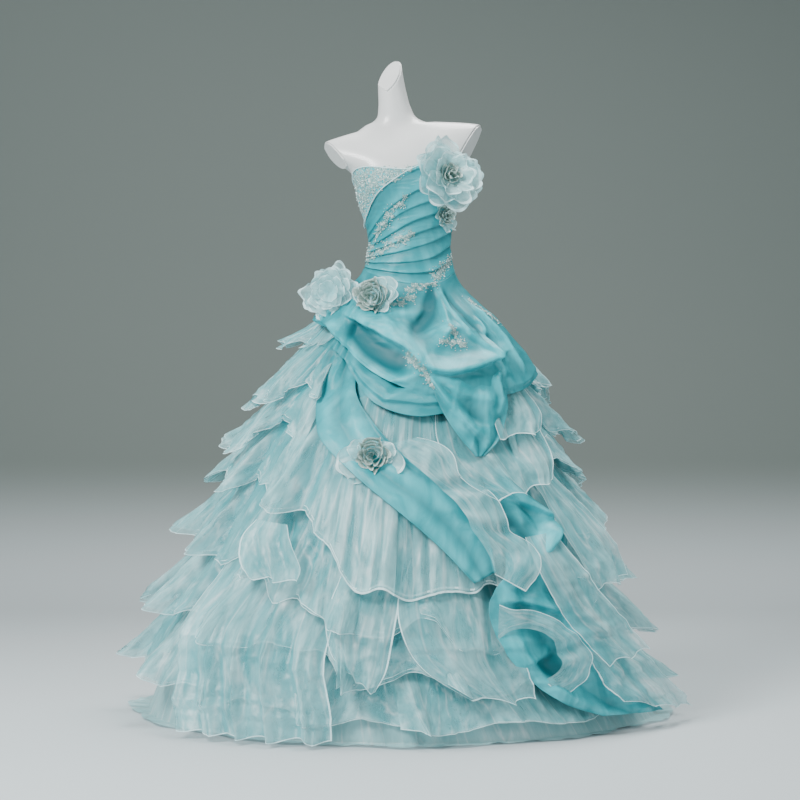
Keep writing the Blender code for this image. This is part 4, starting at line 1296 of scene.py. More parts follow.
ORGANZA_PANELS = [
    Panel("corner_flap", False, (0.40, 0.30), 2.3, 0, (0, -1), [
        Span(0, 14, 0.800, 58, 0.860, -0.012, 0.001), Span(1, 13, 0.730, 62, 0.790, -0.010, 0.004),
        Span(2, 15, 0.668, 64, 0.715, -0.004, 0.010), Span(3, 21, 0.605, 60, 0.650, 0.020, 0.018),
        Span(4, 30, 0.560, 53, 0.600, 0.034, 0.016),
    ]),
    Panel("train_flounce_left", True, (0.14, 0.50), 2.6, 0, (-1,), [
        Span(0, -5, 0.690, 6, 0.704, 0.004, 0.000), Span(1, 3, 0.650, 15, 0.672, 0.008, 0.006),
        Span(2, 10, 0.605, 21, 0.622, 0.012, 0.012), Span(3, 16, 0.555, 27, 0.560, 0.022, 0.018),
        Span(4, 19, 0.500, 31, 0.490, 0.036, 0.022), Span(5, 22, 0.440, 35, 0.428, 0.044, 0.022),
        Span(6, 23, 0.390, 30, 0.352, 0.038, 0.012),
    ]),
    Panel("upper_right_flap", False, (0.22, 0.18), 1.8, 0, (0, -1), [
        Span(0, 42, 0.830, 62, 0.845, -0.004, 0.002), Span(1, 37, 0.765, 66, 0.775, 0.008, 0.010),
        Span(2, 36, 0.700, 60, 0.722, 0.018, 0.016),
    ]),
    Panel("train_flounce_right", False, (0.24, 0.36), 1.8, 0, (0, -1), [
        Span(0, 48, 0.600, 60, 0.612, 0.006, 0.001), Span(1, 48, 0.540, 64, 0.550, 0.012, 0.008),
        Span(2, 48, 0.470, 68, 0.480, 0.016, 0.012), Span(3, 49, 0.400, 70, 0.410, 0.018, 0.016),
        Span(4, 51, 0.335, 69, 0.360, 0.020, 0.022),
    ]),
    Panel("train_long_panel", False, (0.16, 0.36), 1.6, 0, (0, -1), [
        Span(0, 35, 0.470, 45, 0.480, 0.026, 0.002), Span(1, 35, 0.400, 48, 0.400, 0.032, 0.006),
        Span(2, 38, 0.308, 51, 0.330, 0.044, 0.010), Span(3, 43, 0.225, 57, 0.250, 0.046, 0.012),
        Span(4, 47, 0.168, 61, 0.191, 0.044, 0.014),
    ]),
    Panel("train_floor_panel", False, (0.26, 0.24), 2.2, 0, (0, -1), [
        Span(0, 42, 0.215, 58, 0.230, 0.022, 0.002), Span(1, 44, 0.166, 63, 0.160, 0.028, 0.008),
        Span(2, 45, 0.120, 69, 0.085, 0.030, 0.014), Span(3, 48, 0.076, 73, 0.030, 0.028, 0.016),
    ]),
    Panel("train_pocket_flounce", True, (0.10, 0.42), 2.5, 0, (-1,), [
        Span(0, 23, 0.240, 24, 0.319, 0.018, 0.004), Span(1, 26, 0.259, 28, 0.310, 0.028, 0.010),
        Span(2, 30, 0.262, 33, 0.296, 0.034, 0.012), Span(3, 34, 0.245, 38.5, 0.272, 0.034, 0.014),
        Span(4, 36, 0.205, 43, 0.225, 0.032, 0.014), Span(5, 35, 0.170, 42, 0.165, 0.026, 0.012),
        Span(6, 31, 0.140, 35, 0.105, 0.018, 0.004),
    ]),
    Panel("front_panel", False, (0.24, 0.34), 1.7, 4, (0, -1), [
        Span(0, 4, 0.420, 28, 0.430, 0.002, 0.000), Span(1, 1, 0.330, 29, 0.330, 0.006, 0.008),
        Span(2, 3, 0.240, 27, 0.230, 0.010, 0.016), Span(3, 7, 0.175, 27, 0.150, 0.014, 0.022),
        Span(4, 15, 0.110, 27, 0.098, 0.016, 0.024),
    ]),
    Panel("front_left_panel", False, (0.18, 0.30), 2.3, 4, (0, -1), [
        Span(0, -14, 0.400, 2, 0.410, 0.002, 0.000), Span(1, -15, 0.300, 1, 0.300, 0.004, 0.008),
        Span(2, -13, 0.215, -1, 0.180, 0.010, 0.018), Span(3, -9, 0.170, -4, 0.120, 0.014, 0.022),
    ]),
    Panel("fluted_drop", False, (0.42, 0.44), 5.0, 5, (0, -1), [
        Span(0, -53, 0.450, -13, 0.330, 0.002, 0.000), Span(1, -53, 0.330, -14, 0.250, 0.004, 0.010),
        Span(2, -51, 0.210, -14, 0.160, 0.010, 0.026), Span(3, -49, 0.100, -13, 0.080, 0.014, 0.034),
        Span(4, -46, 0.020, -13, 0.014, 0.022, 0.040),
    ]),
    Panel("fluted_flap", False, (0.14, 0.16), 2.0, 0, (0, -1), [
        Span(0, -42, 0.510, -31, 0.500, -0.012, 0.002), Span(1, -43, 0.465, -27, 0.455, 0.002, 0.016),
        Span(2, -39, 0.410, -23, 0.405, 0.012, 0.028), Span(3, -34, 0.378, -23, 0.372, 0.016, 0.034),
    ]),
]
SCENE_CASCADE = [
    Span(0, 28, 0.612, 37, 0.640, -0.012, 0.002),
    Span(1, 30, 0.557, 45, 0.550, -0.005, 0.014),
    Span(2, 31, 0.490, 52, 0.490, 0.000, 0.020),
    Span(3, 27, 0.400, 45, 0.400, 0.000, 0.020),
    Span(4, 22, 0.320, 44, 0.320, 0.000, 0.022),
    Span(5, 23, 0.240, 55, 0.225, -0.001, 0.022),
    Span(6, 27, 0.160, 57, 0.130, -0.003, 0.020),
    Span(7, 34, 0.090, 60, 0.070, -0.003, 0.014),
    Span(8, 43, 0.050, 64, 0.036, -0.003, 0.008),
]
FOLD_REACH = 0.30


def drape(theta, z, folds):
    """How far the folds that are drawn on the skirt lift the satin here."""
    total = 0.0
    here = Vector((theta * FOLD_REACH, z))
    for fold in folds:
        points = [Vector((math.radians(a) * FOLD_REACH, h)) for a, h in fold.path]
        spans = [(q - p).length for p, q in zip(points, points[1:])]
        best, side, at, run = 1e9, 0.0, 0.0, 0.0
        for p, q, span in zip(points, points[1:], spans):
            way = (q - p) / span
            t = min(span, max(0.0, (here - p).dot(way)))
            off = here - (p + way * t)
            if off.length < best:
                best, at = off.length, run + t
                side = way.x * off.y - way.y * off.x
            run += span
        width = fold.above if side > 0 else fold.below
        if best > 3 * width:
            continue
        ends = smooth(at / run * 5 + 0.15) * smooth((1 - at / run) * 5 + 0.15)
        total += fold.depth * math.exp(-((best / width) ** 2)) * ends
    return total


def overskirt_point(u, v):
    theta = math.radians(mix(-74, 76, u))
    top = edge_z(BASQUE, theta) + 3 * WAIST_GAP
    hem = edge_z(OVERSKIRT_HEM, theta)
    z = mix(top, hem, v**0.92)
    side = smooth(min(u, 1 - u) * 5)
    hang = smooth(v * 3.5)
    puff = 1.3 * OVERSKIRT_PUFF * math.sin(math.pi * min(1, v)) * side
    under = satin_cover(theta, z) * hang + 4 * LAYER * smooth(v * 1.8)
    lifted = drape(theta, z, OVERSKIRT_DRAPE)
    crease = 0.005 * crumple(skirt_point(theta, z, 0), (10, 10, 14), 70.0) * hang
    turned = -0.012 * smooth((v - 0.93) / 0.07)
    lift = eased_floor((puff + crease) * hang + lifted * smooth(v * 6) + turned * hang, -0.004)
    # Painted shade: deeper where the drawn folds sink and in the small creases.
    fold_shade = min(1.0, max(0.0, 0.55 - lifted / 0.022 - 0.1 * crease / 0.005))
    return skirt_point(theta, z, OVERSKIRT_SEAT + under + lift), fold_shade


def eased_floor(value, lowest, ease=0.007):
    """The value, rounded off where it would fall below the lowest."""
    over = value - lowest
    return lowest + 0.5 * (over + math.sqrt(over * over + ease * ease))


def swag_point(u, v):
    theta = math.radians(mix(-40, 36, u))
    top = edge_z(OVERSKIRT_HEM, theta) + 0.035
    z = mix(top, edge_z(SWAG_HEM, theta), v)
    lift = max(0.0, drape(theta, z, SWAG_DRAPE)) + 0.004 * crumple(skirt_point(theta, z, 0), (10, 10, 16), 75.0)
    return skirt_point(theta, z, satin_cover(theta, z) + 3.1 * LAYER + lift * smooth(v * 4))


def panel_points(rows, folds, curl, drawn=(), under=LAYER):
    """A panel between two edges that are given row by row, folded along its length."""
    def place(u, v):
        at = v * rows[-1].at
        a1, z1, a2, z2, lift, depth = (
            along(rows, at, column, "at") for column in ("a1", "z1", "a2", "z2", "lift", "depth")
        )
        theta, z = math.radians(mix(a1, a2, u)), mix(z1, z2, u)
        drift = 0.22 * noise.noise(Vector((2.5 * v, 0.7, folds)))
        wave = 0.5 - 0.5 * math.cos(2 * math.pi * folds * (u + drift))
        sharp = mix(wave, wave**0.6, 0.6)
        crease = crumple(skirt_point(theta, z, 0), (12, 12, 7), 80.0 + folds)
        side = max(0.0, 1 - min(u, 1 - u) * 9)
        pulled = drape(theta, z, drawn) if drawn else 0.0
        lift += depth * sharp + 0.005 * crease * smooth(v * 4) + curl * side**2 * smooth(v * 3)
        lift = max(lift + pulled, -0.003)
        # Painted shade: deeper in the flutes' troughs, the drawn folds and the creases.
        fold_shade = min(1.0, max(0.0, 0.75 - 0.45 * sharp - pulled / 0.02 - 0.25 * crease))
        return skirt_point(theta, z, satin_cover(theta, z) + under + lift), fold_shade
    return place


def hung_organza(rows, flutes, seed, along_length, lowest):
    """A loose organza panel on the ruffles from lowest down: fluted down it or along its edge."""
    def place(u, v):
        at = v * rows[-1].at
        a1, z1, a2, z2, lift, depth = (
            along(rows, at, column, "at") for column in ("a1", "z1", "a2", "z2", "lift", "depth")
        )
        run, free = (v, u) if along_length else (u, v)
        phase = 2 * math.pi * flutes * run + seed + 1.5 * noise.noise(Vector((2 * run, seed, 1)))
        spread = abs(rows[-2].z1 - rows[0].z1) / 0.5 if along_length else math.radians(a2 - a1)
        sway = min(0.035, 0.8 * spread / (2 * math.pi * flutes))
        uneven = 0.75 + 1.2 * noise.noise(Vector((1.7 * run, seed, 4)))
        theta = math.radians(mix(a1, a2, u)) + sway * uneven * math.sin(phase + 1.2) * free
        z = mix(z1, z2, u) + 0.007 * uneven * math.cos(phase + 0.6) * free
        crease = crumple(skirt_point(theta, z, 0), (13, 13, 8), seed)
        flute = 0.5 + 0.5 * math.sin(phase) + 0.2 * math.sin(2.3 * phase + seed)
        lift += depth * flute * uneven + 0.008 * crease * smooth(free * 4)
        # Painted shade: deeper in the flutes' troughs and the creases.
        fold_shade = min(1.0, max(0.0, 0.75 - 0.5 * flute - 0.35 * crease))
        lift += satin_cover(theta, z, lowest) + (0.2 if lowest else 1.0) * LAYER
        return skirt_point(theta, max(z, 0.004), lift), fold_shade
    return place


class GOWN_OT_overskirt(bpy.types.Operator):
    """Builds the picked-up satin overskirt and the panels that hang from it."""

    bl_idname = "gown.overskirt"
    bl_label = "Satin overskirt"

    def execute(self, context):
        satin = satin_material()
        pieces = [
            ("overskirt", 170, 110, overskirt_point, (0.75, 0.34), "draped"),
            ("overskirt_swag", 110, 50, swag_point, (0.42, 0.15), "draped"),
            ("leaf_panel", 50, 130, panel_points(LEAF_PANEL, 2, 0.004), (0.16, 0.75), "hung"),
            ("right_panel", 90, 80, panel_points(SCENE_RIGHT_PANEL, 2, 0.003, PANEL_DRAPE),
             (0.3, 0.28), "hung"),
            ("satin_cascade", 110, 190, panel_points(SCENE_CASCADE, 2, 0.006, CASCADE_DRAPE),
             (0.3, 0.8), "hung"),
        ]
        for name, columns, rows, place, size, held in pieces:
            mesh = cloth_mesh(name, columns, rows, place, size)
            made = add_piece(f"{name}_satin", mesh, "satin", satin)
            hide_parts(name)
            declare_cut(made, size[0] * 1.15, size[1] * 1.15)
            give_wall(made, 0.0012)
        organza = organza_material()
        sizes = context.scene.gown_sizes
        for index, row in enumerate(ORGANZA_PANELS):
            width, fall = row.size
            columns, rows = (int(extent / 0.0042) for extent in row.size)
            place = hung_organza(row.rows, row.flutes, 3.0 + 1.7 * index, row.lengthwise, row.lowest)
            place = with_side_hems(with_hem_row(place, sizes, fall, rows), sizes, width, columns)
            mesh = cloth_mesh(row.name, columns, rows, place, row.size, hem=1, side_hems=row.hems)
            made = add_piece(f"{row.name}_organza", mesh, "organza", organza, hem_material())
            declare_cut(made, width * 1.1, fall * 1.1)
        return {"FINISHED"}


# Flowers.

Bloom = namedtuple("Bloom", "name on angle z seat radius height tilt_up tilt_side core")
BLOOMS = [
    Bloom("shoulder_flower", "body", 36, 1.352, -0.0004, 0.088, 0.062, 8, -8, 0.034),
    Bloom("shoulder_rose", "body", 44, 1.262, 0.0008, 0.027, 0.026, 0, 0, 0.024),
    Bloom("hip_flower", "skirt", -61, 1.061, 0.0721, 0.071, 0.048, 8, 46, 0.0),
    Bloom("hip_rose", "skirt", -25, 1.050, 0.0481, 0.052, 0.036, 8, 0, 0.040),
    Bloom("skirt_rose", "skirt", -9, 0.665, 0.0236, 0.041, 0.032, 0, 0, 0.038),
]
Petals = namedtuple("Petals", "count reach width rise tip frill turn")
PETALS = {
    "shoulder_flower": [
        Petals(9, 1.04, 0.62, 0.10, 0.42, 0.10, 0.0), Petals(8, 0.86, 0.56, 0.26, 0.62, 0.12, 0.4),
        Petals(7, 0.64, 0.46, 0.40, 0.85, 0.12, 0.9),
    ],
    "hip_flower": [
        Petals(9, 1.02, 0.60, 0.10, 0.45, 0.12, 0.2), Petals(8, 0.84, 0.56, 0.25, 0.66, 0.14, 0.6),
        Petals(7, 0.62, 0.48, 0.40, 0.85, 0.14, 1.0), Petals(5, 0.40, 0.36, 0.50, 1.00, 0.12, 0.2),
    ],
    "shoulder_rose": [Petals(6, 1.25, 0.60, 0.05, 0.30, 0.10, 0.3)],
    "hip_rose": [Petals(8, 1.05, 0.60, 0.05, 0.35, 0.10, 0.1)],
    "skirt_rose": [Petals(6, 1.10, 0.60, 0.03, 0.25, 0.10, 0.5)],
}
Leaf = namedtuple("Leaf", "bloom turn length width rise")
LEAVES = [
    Leaf("shoulder_flower", -25, 0.100, 0.050, 0.020), Leaf("shoulder_flower", 12, 0.098, 0.046, 0.026),
    Leaf("shoulder_flower", 100, 0.100, 0.052, 0.018), Leaf("shoulder_flower", 150, 0.090, 0.050, 0.012),
    Leaf("shoulder_rose", -40, 0.052, 0.026, 0.010), Leaf("shoulder_rose", -75, 0.046, 0.024, 0.008),
    Leaf("hip_rose", 30, 0.075, 0.050, 0.012), Leaf("hip_rose", 5, 0.068, 0.042, 0.010),
    Leaf("hip_flower", 75, 0.085, 0.045, 0.010), Leaf("hip_flower", 200, 0.078, 0.050, 0.008),
    Leaf("skirt_rose", 196, 0.096, 0.060, 0.012), Leaf("skirt_rose", 222, 0.090, 0.050, 0.010),
    Leaf("skirt_rose", -22, 0.080, 0.056, 0.012), Leaf("skirt_rose", -50, 0.070, 0.040, 0.010),
    Leaf("skirt_rose", 160, 0.066, 0.040, 0.012), Leaf("skirt_rose", 20, 0.060, 0.040, 0.014),
]


def bloom_frame(row):
    """A blossom's seat and its three directions: across, up and out of the gown."""
    theta = math.radians(row.angle)
    surface = body_point if row.on == "body" else skirt_point
    base = BODICE_LIFT + WRAP_PLEAT_DEPTH if row.on == "body" else cover(theta, row.z)
    seat = surface(theta, row.z, base + row.seat)
    out = Vector((math.sin(theta), -math.cos(theta), 0))
    side = Vector((math.cos(theta), math.sin(theta), 0))
    up, turn = math.radians(row.tilt_up), math.radians(row.tilt_side)
    facing = (out * math.cos(up) + Vector((0, 0, math.sin(up)))) * math.cos(turn)
    facing = (facing + side * math.sin(turn)).normalized()
    across = Vector((0, 0, 1)).cross(facing).normalized()
    return seat, across, facing.cross(across), facing


def place_grid(bm, uv, hollow, columns, rows, place, size, material=0, edge=None):
    """Adds a small net of faces to a mesh that holds several."""
    made = bmesh.ops.create_grid(bm, x_segments=columns, y_segments=rows, size=0.5)["verts"]
    spots = {vert: (vert.co.x + 0.5, vert.co.y + 0.5) for vert in made}
    for face in {f for vert in made for f in vert.link_faces}:
        low = min(spots[v][1] for v in face.verts)
        face.material_index = edge if edge is not None and low > 1 - 1.5 / rows else material
        for loop in face.loops:
            u, v = spots[loop.vert]
            loop[uv].uv = (u * size[0], v * size[1])
    for vert, (u, v) in spots.items():
        placed = place(u, v)
        # Pieces that give no shade value of their own take a middling painted shade.
        vert.co, vert[hollow] = placed if isinstance(placed, tuple) else (placed, 0.3)


def petal(seat, across, up, facing, turn, length, width, rise, tip, frill, seed):
    """One petal, from the blossom's heart outwards, with a wavy rounded end."""
    out = across * math.cos(turn) + up * math.sin(turn)
    side = up * math.cos(turn) - across * math.sin(turn)

    def place(u, v):
        s = 2 * u - 1
        round_end = 1 - 0.24 * s * s * v
        half = width * (0.22 + 1.0 * math.sin(math.pi * (0.06 + 0.66 * v)) ** 0.85)
        wavy = noise.noise(Vector((1.3 * s, 1.5 * v, seed)))
        height = rise + (tip - rise) * v**1.3 + frill * v * (wavy + 0.35 * math.sin(4 * s + seed) * v)
        height += 0.3 * width * (s * s) * v * (1 - 0.6 * v)
        reach = length * v * round_end * (1 + 0.10 * wavy)
        point = seat + out * reach + side * (half * s * (1 + 0.15 * wavy)) + facing * height
        # The second value is painted shade, deeper at the blossom's heart and in the petal's waves.
        return point, min(1.0, max(0.0, 0.55 - 0.6 * v - 0.4 * wavy))

    return place


def spiral_core(seat, across, up, facing, radius, height, turns, seed):
    """A strip of frayed cloth wound up from the heart, its edge ruffled."""
    def place(u, v):
        turn = 2 * math.pi * turns * u
        frill = math.sin(9.3 * turn / 2 + seed) + 0.8 * math.sin(23 * turn / 3 + 2 * seed)
        flare = 0.0035 * v * (0.4 + u) * frill + 0.006 * v * v * (0.3 + u)
        r = radius * (0.06 + 0.88 * u**0.8) + flare
        top = height * (1.0 - 0.35 * u) + 0.0022 * frill * v
        swing = turn + 0.16 * v * math.sin(5 * turn + seed)
        spot = seat + across * r * math.cos(swing) + up * r * math.sin(swing)
        # The second value is painted shade, deepest low in the wound strip and paling to its ruffled edge.
        return spot + facing * (0.3 * height * (1 - v) + top * v), 0.95 - 0.9 * v
    return place


class GOWN_OT_flowers(bpy.types.Operator):
    """Builds the organza blossoms, their leaves and the frayed rosettes."""

    bl_idname = "gown.flowers"
    bl_label = "Flowers"

    def execute(self, context):
        organza = organza_material("petal_organza", alpha=(0.42, 0.86), pale=0.5)
        frayed, tips = rosette_material("frayed_ribbon", 0.0), rosette_material("frayed_tips", 0.6)
        for seed, row in enumerate(BLOOMS):
            bm = bmesh.new()
            uv = bm.loops.layers.uv.new("cloth")
            hollow = bm.verts.layers.float.new("hollow")
            seat, across, up, facing = bloom_frame(row)
            for ring in PETALS[row.name]:
                for i in range(ring.count):
                    wander = noise.noise(Vector((i * 1.7, ring.turn * 9, seed)))
                    turn = ring.turn + 2 * math.pi * (i + 0.5 * wander) / ring.count
                    length = row.radius * ring.reach * (1 + 0.18 * wander)
                    spot = petal(
                        seat, across, up, facing, turn, length, row.radius * ring.width * 0.55,
                        row.height * ring.rise, row.height * ring.tip * (1 + 0.3 * wander),
                        row.height * ring.frill * 2.2, seed + 3.1 * i,
                    )
                    place_grid(bm, uv, hollow, 12, 12, spot, (0.04, 0.06), 0, 3)
            for leaf in LEAVES:
                if leaf.bloom == row.name:
                    spot = petal(
                        seat, across, up, facing, math.radians(leaf.turn), leaf.length,
                        leaf.width / 2, 0.002, leaf.rise, 0.012, leaf.turn,
                    )
                    place_grid(bm, uv, hollow, 14, 14, spot, (0.05, 0.08), 0, 3)
            if row.core:
                wound = spiral_core(
                    seat, across, up, facing, row.core, row.height * 0.86, 2.5 + 50 * row.core, seed,
                )
                place_grid(bm, uv, hollow, 520, 6, wound, (0.6, 0.02), 1, 2)
            bm.normal_update()
            mesh = mesh_from(row.name, bm)
            slot = "organza" if row.name.endswith("flower") else "rose_ribbon"
            made = add_piece(
                f"{row.name}_petals", mesh, slot, organza, frayed, tips, hem_material(),
            )
            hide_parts(row.name)
        return {"FINISHED"}


def rosette_material(name, pale):
    colour = towards(bpy.context.scene.gown_colours.rosette, (0.75, 0.88, 0.86), pale)
    made, shader = cloth_material(name, 0.6, 0.3)
    crease = effect(made, "crease", Scale=90.0, Stretch=1.0)
    tone = mix_colour(made, crease.outputs["Streak"], shade(colour, 0.6), shade(colour, 1.25))
    # Painted shade: a darker rosette colour in the depths of the wound strip and the hollows.
    tone, hollow = paint_fold_shade(made, shade(colour, 0.42), tone)
    made.node_tree.links.new(tone, shader.inputs["Base Color"])
    relief(made, shader, [(crease.outputs["Height"], 0.0012)])
    return made


# Lace sprays, beads and piping.

Spray = namedtuple("Spray", "on a1 z1 a2 z2 spread motifs")
SPRAYS = [
    Spray("bodice", -78, 1.352, 4, 1.372, 0.010, 16), Spray("bodice", -80, 1.330, -10, 1.352, 0.009, 13),
    Spray("bodice", -82, 1.305, -30, 1.325, 0.008, 9), Spray("bodice", -84, 1.280, -48, 1.300, 0.006, 6),
    Spray("bodice", -2, 1.300, -54, 1.200, 0.008, 11), Spray("bodice", 4, 1.212, -72, 1.150, 0.009, 13),
    Spray("bodice", -60, 1.190, -84, 1.160, 0.008, 6),
    Spray("bodice", 72, 1.160, 28, 1.106, 0.010, 13), Spray("skirt", 30, 1.088, -2, 1.066, 0.007, 9),
    Spray("skirt", 6, 1.050, -22, 1.016, 0.006, 7), Spray("skirt", 60, 1.046, 72, 0.985, 0.005, 7),
    Spray("skirt", 24, 0.972, 29, 0.925, 0.007, 6), Spray("skirt", 16, 0.935, 30, 0.928, 0.006, 5),
    Spray("skirt", 0, 0.905, 6, 0.872, 0.005, 5), Spray("skirt", 7, 0.868, 12, 0.826, 0.006, 5),
]
MOTIF_SIZE = 0.0064
BEAD_RADIUS = 0.0017


def overskirt_at(theta, z):
    """The overskirt's own surface at this place."""
    degrees = math.degrees(theta)
    top = edge_z(BASQUE, theta) - WAIST_GAP
    fall = min(1.0, max(0.0, (top - z) / (top - edge_z(OVERSKIRT_HEM, theta))))
    return overskirt_point((degrees + 74) / 150, fall ** (1 / 0.92))[0]


def bodice_at(theta, z):
    """The outside of the bodice at this place, on the wrap where it covers the cup."""
    top, bottom = edge_z(WRAP_TOP, theta), edge_z(BASQUE, theta)
    lift = 0.0
    if z < top:
        u = (theta / 0.996 + SIDE_SEAM) / (2 * SIDE_SEAM)
        fade = smooth(min(u, 1 - u) * 6 + 0.25)
        lift = 1.3 * WRAP_PLEAT_DEPTH * fade * wrap_pleat(u, (top - z) / (top - bottom)) + 0.0012
    return body_point(theta, z, BODICE_LIFT + lift)


class LaceMaker:
    """Gathers motifs and beads that follow the cloth beneath them."""

    def __init__(self, surface):
        self.surface = surface
        self.cords, self.beads = bmesh.new(), bmesh.new()

    def spot(self, theta, z, side, up, off):
        """A point near a place, moved along the cloth and a little off it."""
        here = self.surface(theta, z)
        radius = max(0.05, math.hypot(here.x, here.y))
        there = self.surface(theta + side / radius, z + up)
        out = Vector((math.sin(theta), -math.cos(theta), 0.15)).normalized()
        return there + out * off

    def leaf(self, theta, z, turn, start, length, width):
        """A corded leaf or petal: a raised outline round a lower middle."""
        across = (-1.0, -0.55, 0.0, 0.55, 1.0)
        rows = (0.0, 0.25, 0.5, 0.75, 1.0)
        net = []
        for t in rows:
            half = width * (math.sin(math.pi * (0.1 + 0.86 * t)) ** 0.8)
            line = []
            for s in across:
                a, b = start + length * t, half * s
                side = a * math.cos(turn) - b * math.sin(turn)
                up = a * math.sin(turn) + b * math.cos(turn)
                off = (0.0006, 0.0019, 0.0010, 0.0019, 0.0006)[across.index(s)]
                line.append(self.cords.verts.new(self.spot(theta, z, side, up, off)))
            net.append(line)
        for lower, upper in zip(net, net[1:]):
            for i in range(len(across) - 1):
                self.cords.faces.new((lower[i], lower[i + 1], upper[i + 1], upper[i]))

    def bead(self, theta, z, side, up, radius):
        middle = self.spot(theta, z, side, up, 0.0016)
        made = bmesh.ops.create_icosphere(self.beads, subdivisions=1, radius=radius)["verts"]
        bmesh.ops.translate(self.beads, verts=made, vec=middle)

    def flower(self, theta, z, size, turn):
        for i in range(5):
            self.leaf(theta, z, turn + 2 * math.pi * i / 5, size * 0.15, size, size * 0.42)
        self.bead(theta, z, 0, 0, BEAD_RADIUS * 1.3)

    def spray(self, row, random):
        count = int(row.motifs * 1.7)
        for i in range(count):
            t = (i + 0.3 + 0.4 * random.random()) / count
            theta, z = math.radians(mix(row.a1, row.a2, t)), mix(row.z1, row.z2, t)
            z += 1.2 * row.spread * (2 * random.random() - 1)
            turn = 2 * math.pi * random.random()
            size = MOTIF_SIZE * (0.7 + 0.5 * random.random())
            if i % 2 == 0:
                self.flower(theta, z, size, turn)
            else:
                for way in (0, 2.4, 3.9):
                    self.leaf(theta, z, turn + way, 0, size * 1.5, size * 0.32)
            for _ in range(5):
                side, up = (0.012 * (2 * random.random() - 1) for _ in range(2))
                self.bead(theta, z, side, up, BEAD_RADIUS * (0.6 + 0.5 * random.random()))


def thread_material():
    made, shader = cloth_material("silver_cord", 0.4, 0.2, specular=0.8)
    crease = effect(made, "crease", Scale=160.0, Stretch=1.0)
    tone = mix_colour(made, crease.outputs["Streak"], (0.09, 0.28, 0.28), (0.36, 0.57, 0.54))
    made.node_tree.links.new(tone, shader.inputs["Base Color"])
    relief(made, shader, [(crease.outputs["Height"], 0.0006)])
    return made


def bead_material():
    made, shader = cloth_material("glass_beads", 0.12, 0.0, specular=0.9, coat=0.5)
    crease = effect(made, "crease", Scale=60.0, Stretch=1.0)
    tone = mix_colour(made, crease.outputs["Streak"], (0.30, 0.46, 0.45), (0.85, 0.93, 0.90))
    made.node_tree.links.new(tone, shader.inputs["Base Color"])
    relief(made, shader, [(crease.outputs["Height"], 0.0002)])
    return made


class GOWN_OT_trim(bpy.types.Operator):
    """Adds the beaded lace sprays and the piping."""

    bl_idname = "gown.trim"
    bl_label = "Lace, beads and piping"

    def execute(self, context):
        random = Random(11)
        cord, glass = thread_material(), bead_material()
        for on, surface in (("bodice", bodice_at), ("skirt", overskirt_at)):
            maker = LaceMaker(surface)
            for row in SPRAYS:
                if row.on == on:
                    maker.spray(row, random)
            maker.cords.normal_update()
            lace = add_piece(f"{on}_lace_sprays", mesh_from(f"{on}_lace", maker.cords), "beaded_lace", cord)
            beads = add_piece(f"{on}_lace_beads", mesh_from(f"{on}_beads", maker.beads), "beaded_lace", glass)
            beads.data.shade_smooth()
            lace.data.shade_smooth()
        edges = [
            ("wrap_piping", WRAP_TOP, -88, 62, 0.0042), ("cup_piping", NECKLINE, -90, 4, 0.0014),
            ("back_piping", NECKLINE, 92, 268, 0.0014),
        ]
        for name, keys, low, high, lift in edges:
            mesh = cloth_mesh(name, 180, 8, piping(keys, low, high, lift), (0.4, 0.008), closed=True)
            add_piece(name, mesh, "satin", hem_material())
        return {"FINISHED"}


def piping(keys, low, high, lift):
    """A thin round edge that follows a seam line."""
    def place(u, v):
        theta = math.remainder(math.radians(mix(low, high, u)), 2 * math.pi)
        point = body_point(theta, edge_z(keys, theta), BODICE_LIFT + lift)
        out = Vector((math.sin(theta), -math.cos(theta), 0))
        turn = 2 * math.pi * v
        return point + 0.0016 * (out * math.cos(turn) + Vector((0, 0, 1)) * math.sin(turn))
    return place


# Stage.


class GOWN_OT_stage(bpy.types.Operator):
    """Builds the pale floor and backdrop, the soft lights and the camera."""

    bl_idname = "gown.stage"
    bl_label = "Stage"

    def execute(self, context):
        stage = context.scene.gown_stage
        add_backdrop()
        camera = bpy.data.cameras.new("camera")
        camera.lens = stage.lens
        camera.sensor_width = 36
        holder = bpy.data.objects.new("camera", camera)
        holder.location = (stage.camera_side, -stage.camera_distance, stage.camera_height)
        holder.rotation_euler = (math.radians(90), 0, 0)
        context.scene.collection.objects.link(holder)
        context.scene.camera = holder
        add_softbox("key", (-2.2, -2.6, 3.1), (0, 0, 0.8), 1.3, 230)
        add_softbox("fill", (2.6, -3.0, 1.8), (0, 0, 0.7), 2.4, 40)
        add_softbox("top", (0.5, 0.6, 3.6), (0, 0, 0.6), 1.6, 110)
        world = bpy.data.worlds.new("studio")
        world.use_nodes = True
        world.node_tree.nodes["Background"].inputs["Color"].default_value = (0.80, 0.86, 0.88, 1)
        world.node_tree.nodes["Background"].inputs["Strength"].default_value = 0.40
        context.scene.world = world
        return {"FINISHED"}


def add_softbox(name, place, aim, size, power):
    light = bpy.data.lights.new(name, "AREA")
    light.shape = "SQUARE"
    light.size = size
    light.energy = power
    holder = bpy.data.objects.new(name, light)
    holder.location = place
    holder.rotation_euler = (Vector(aim) - Vector(place)).to_track_quat("-Z", "Y").to_euler()
    bpy.context.scene.collection.objects.link(holder)


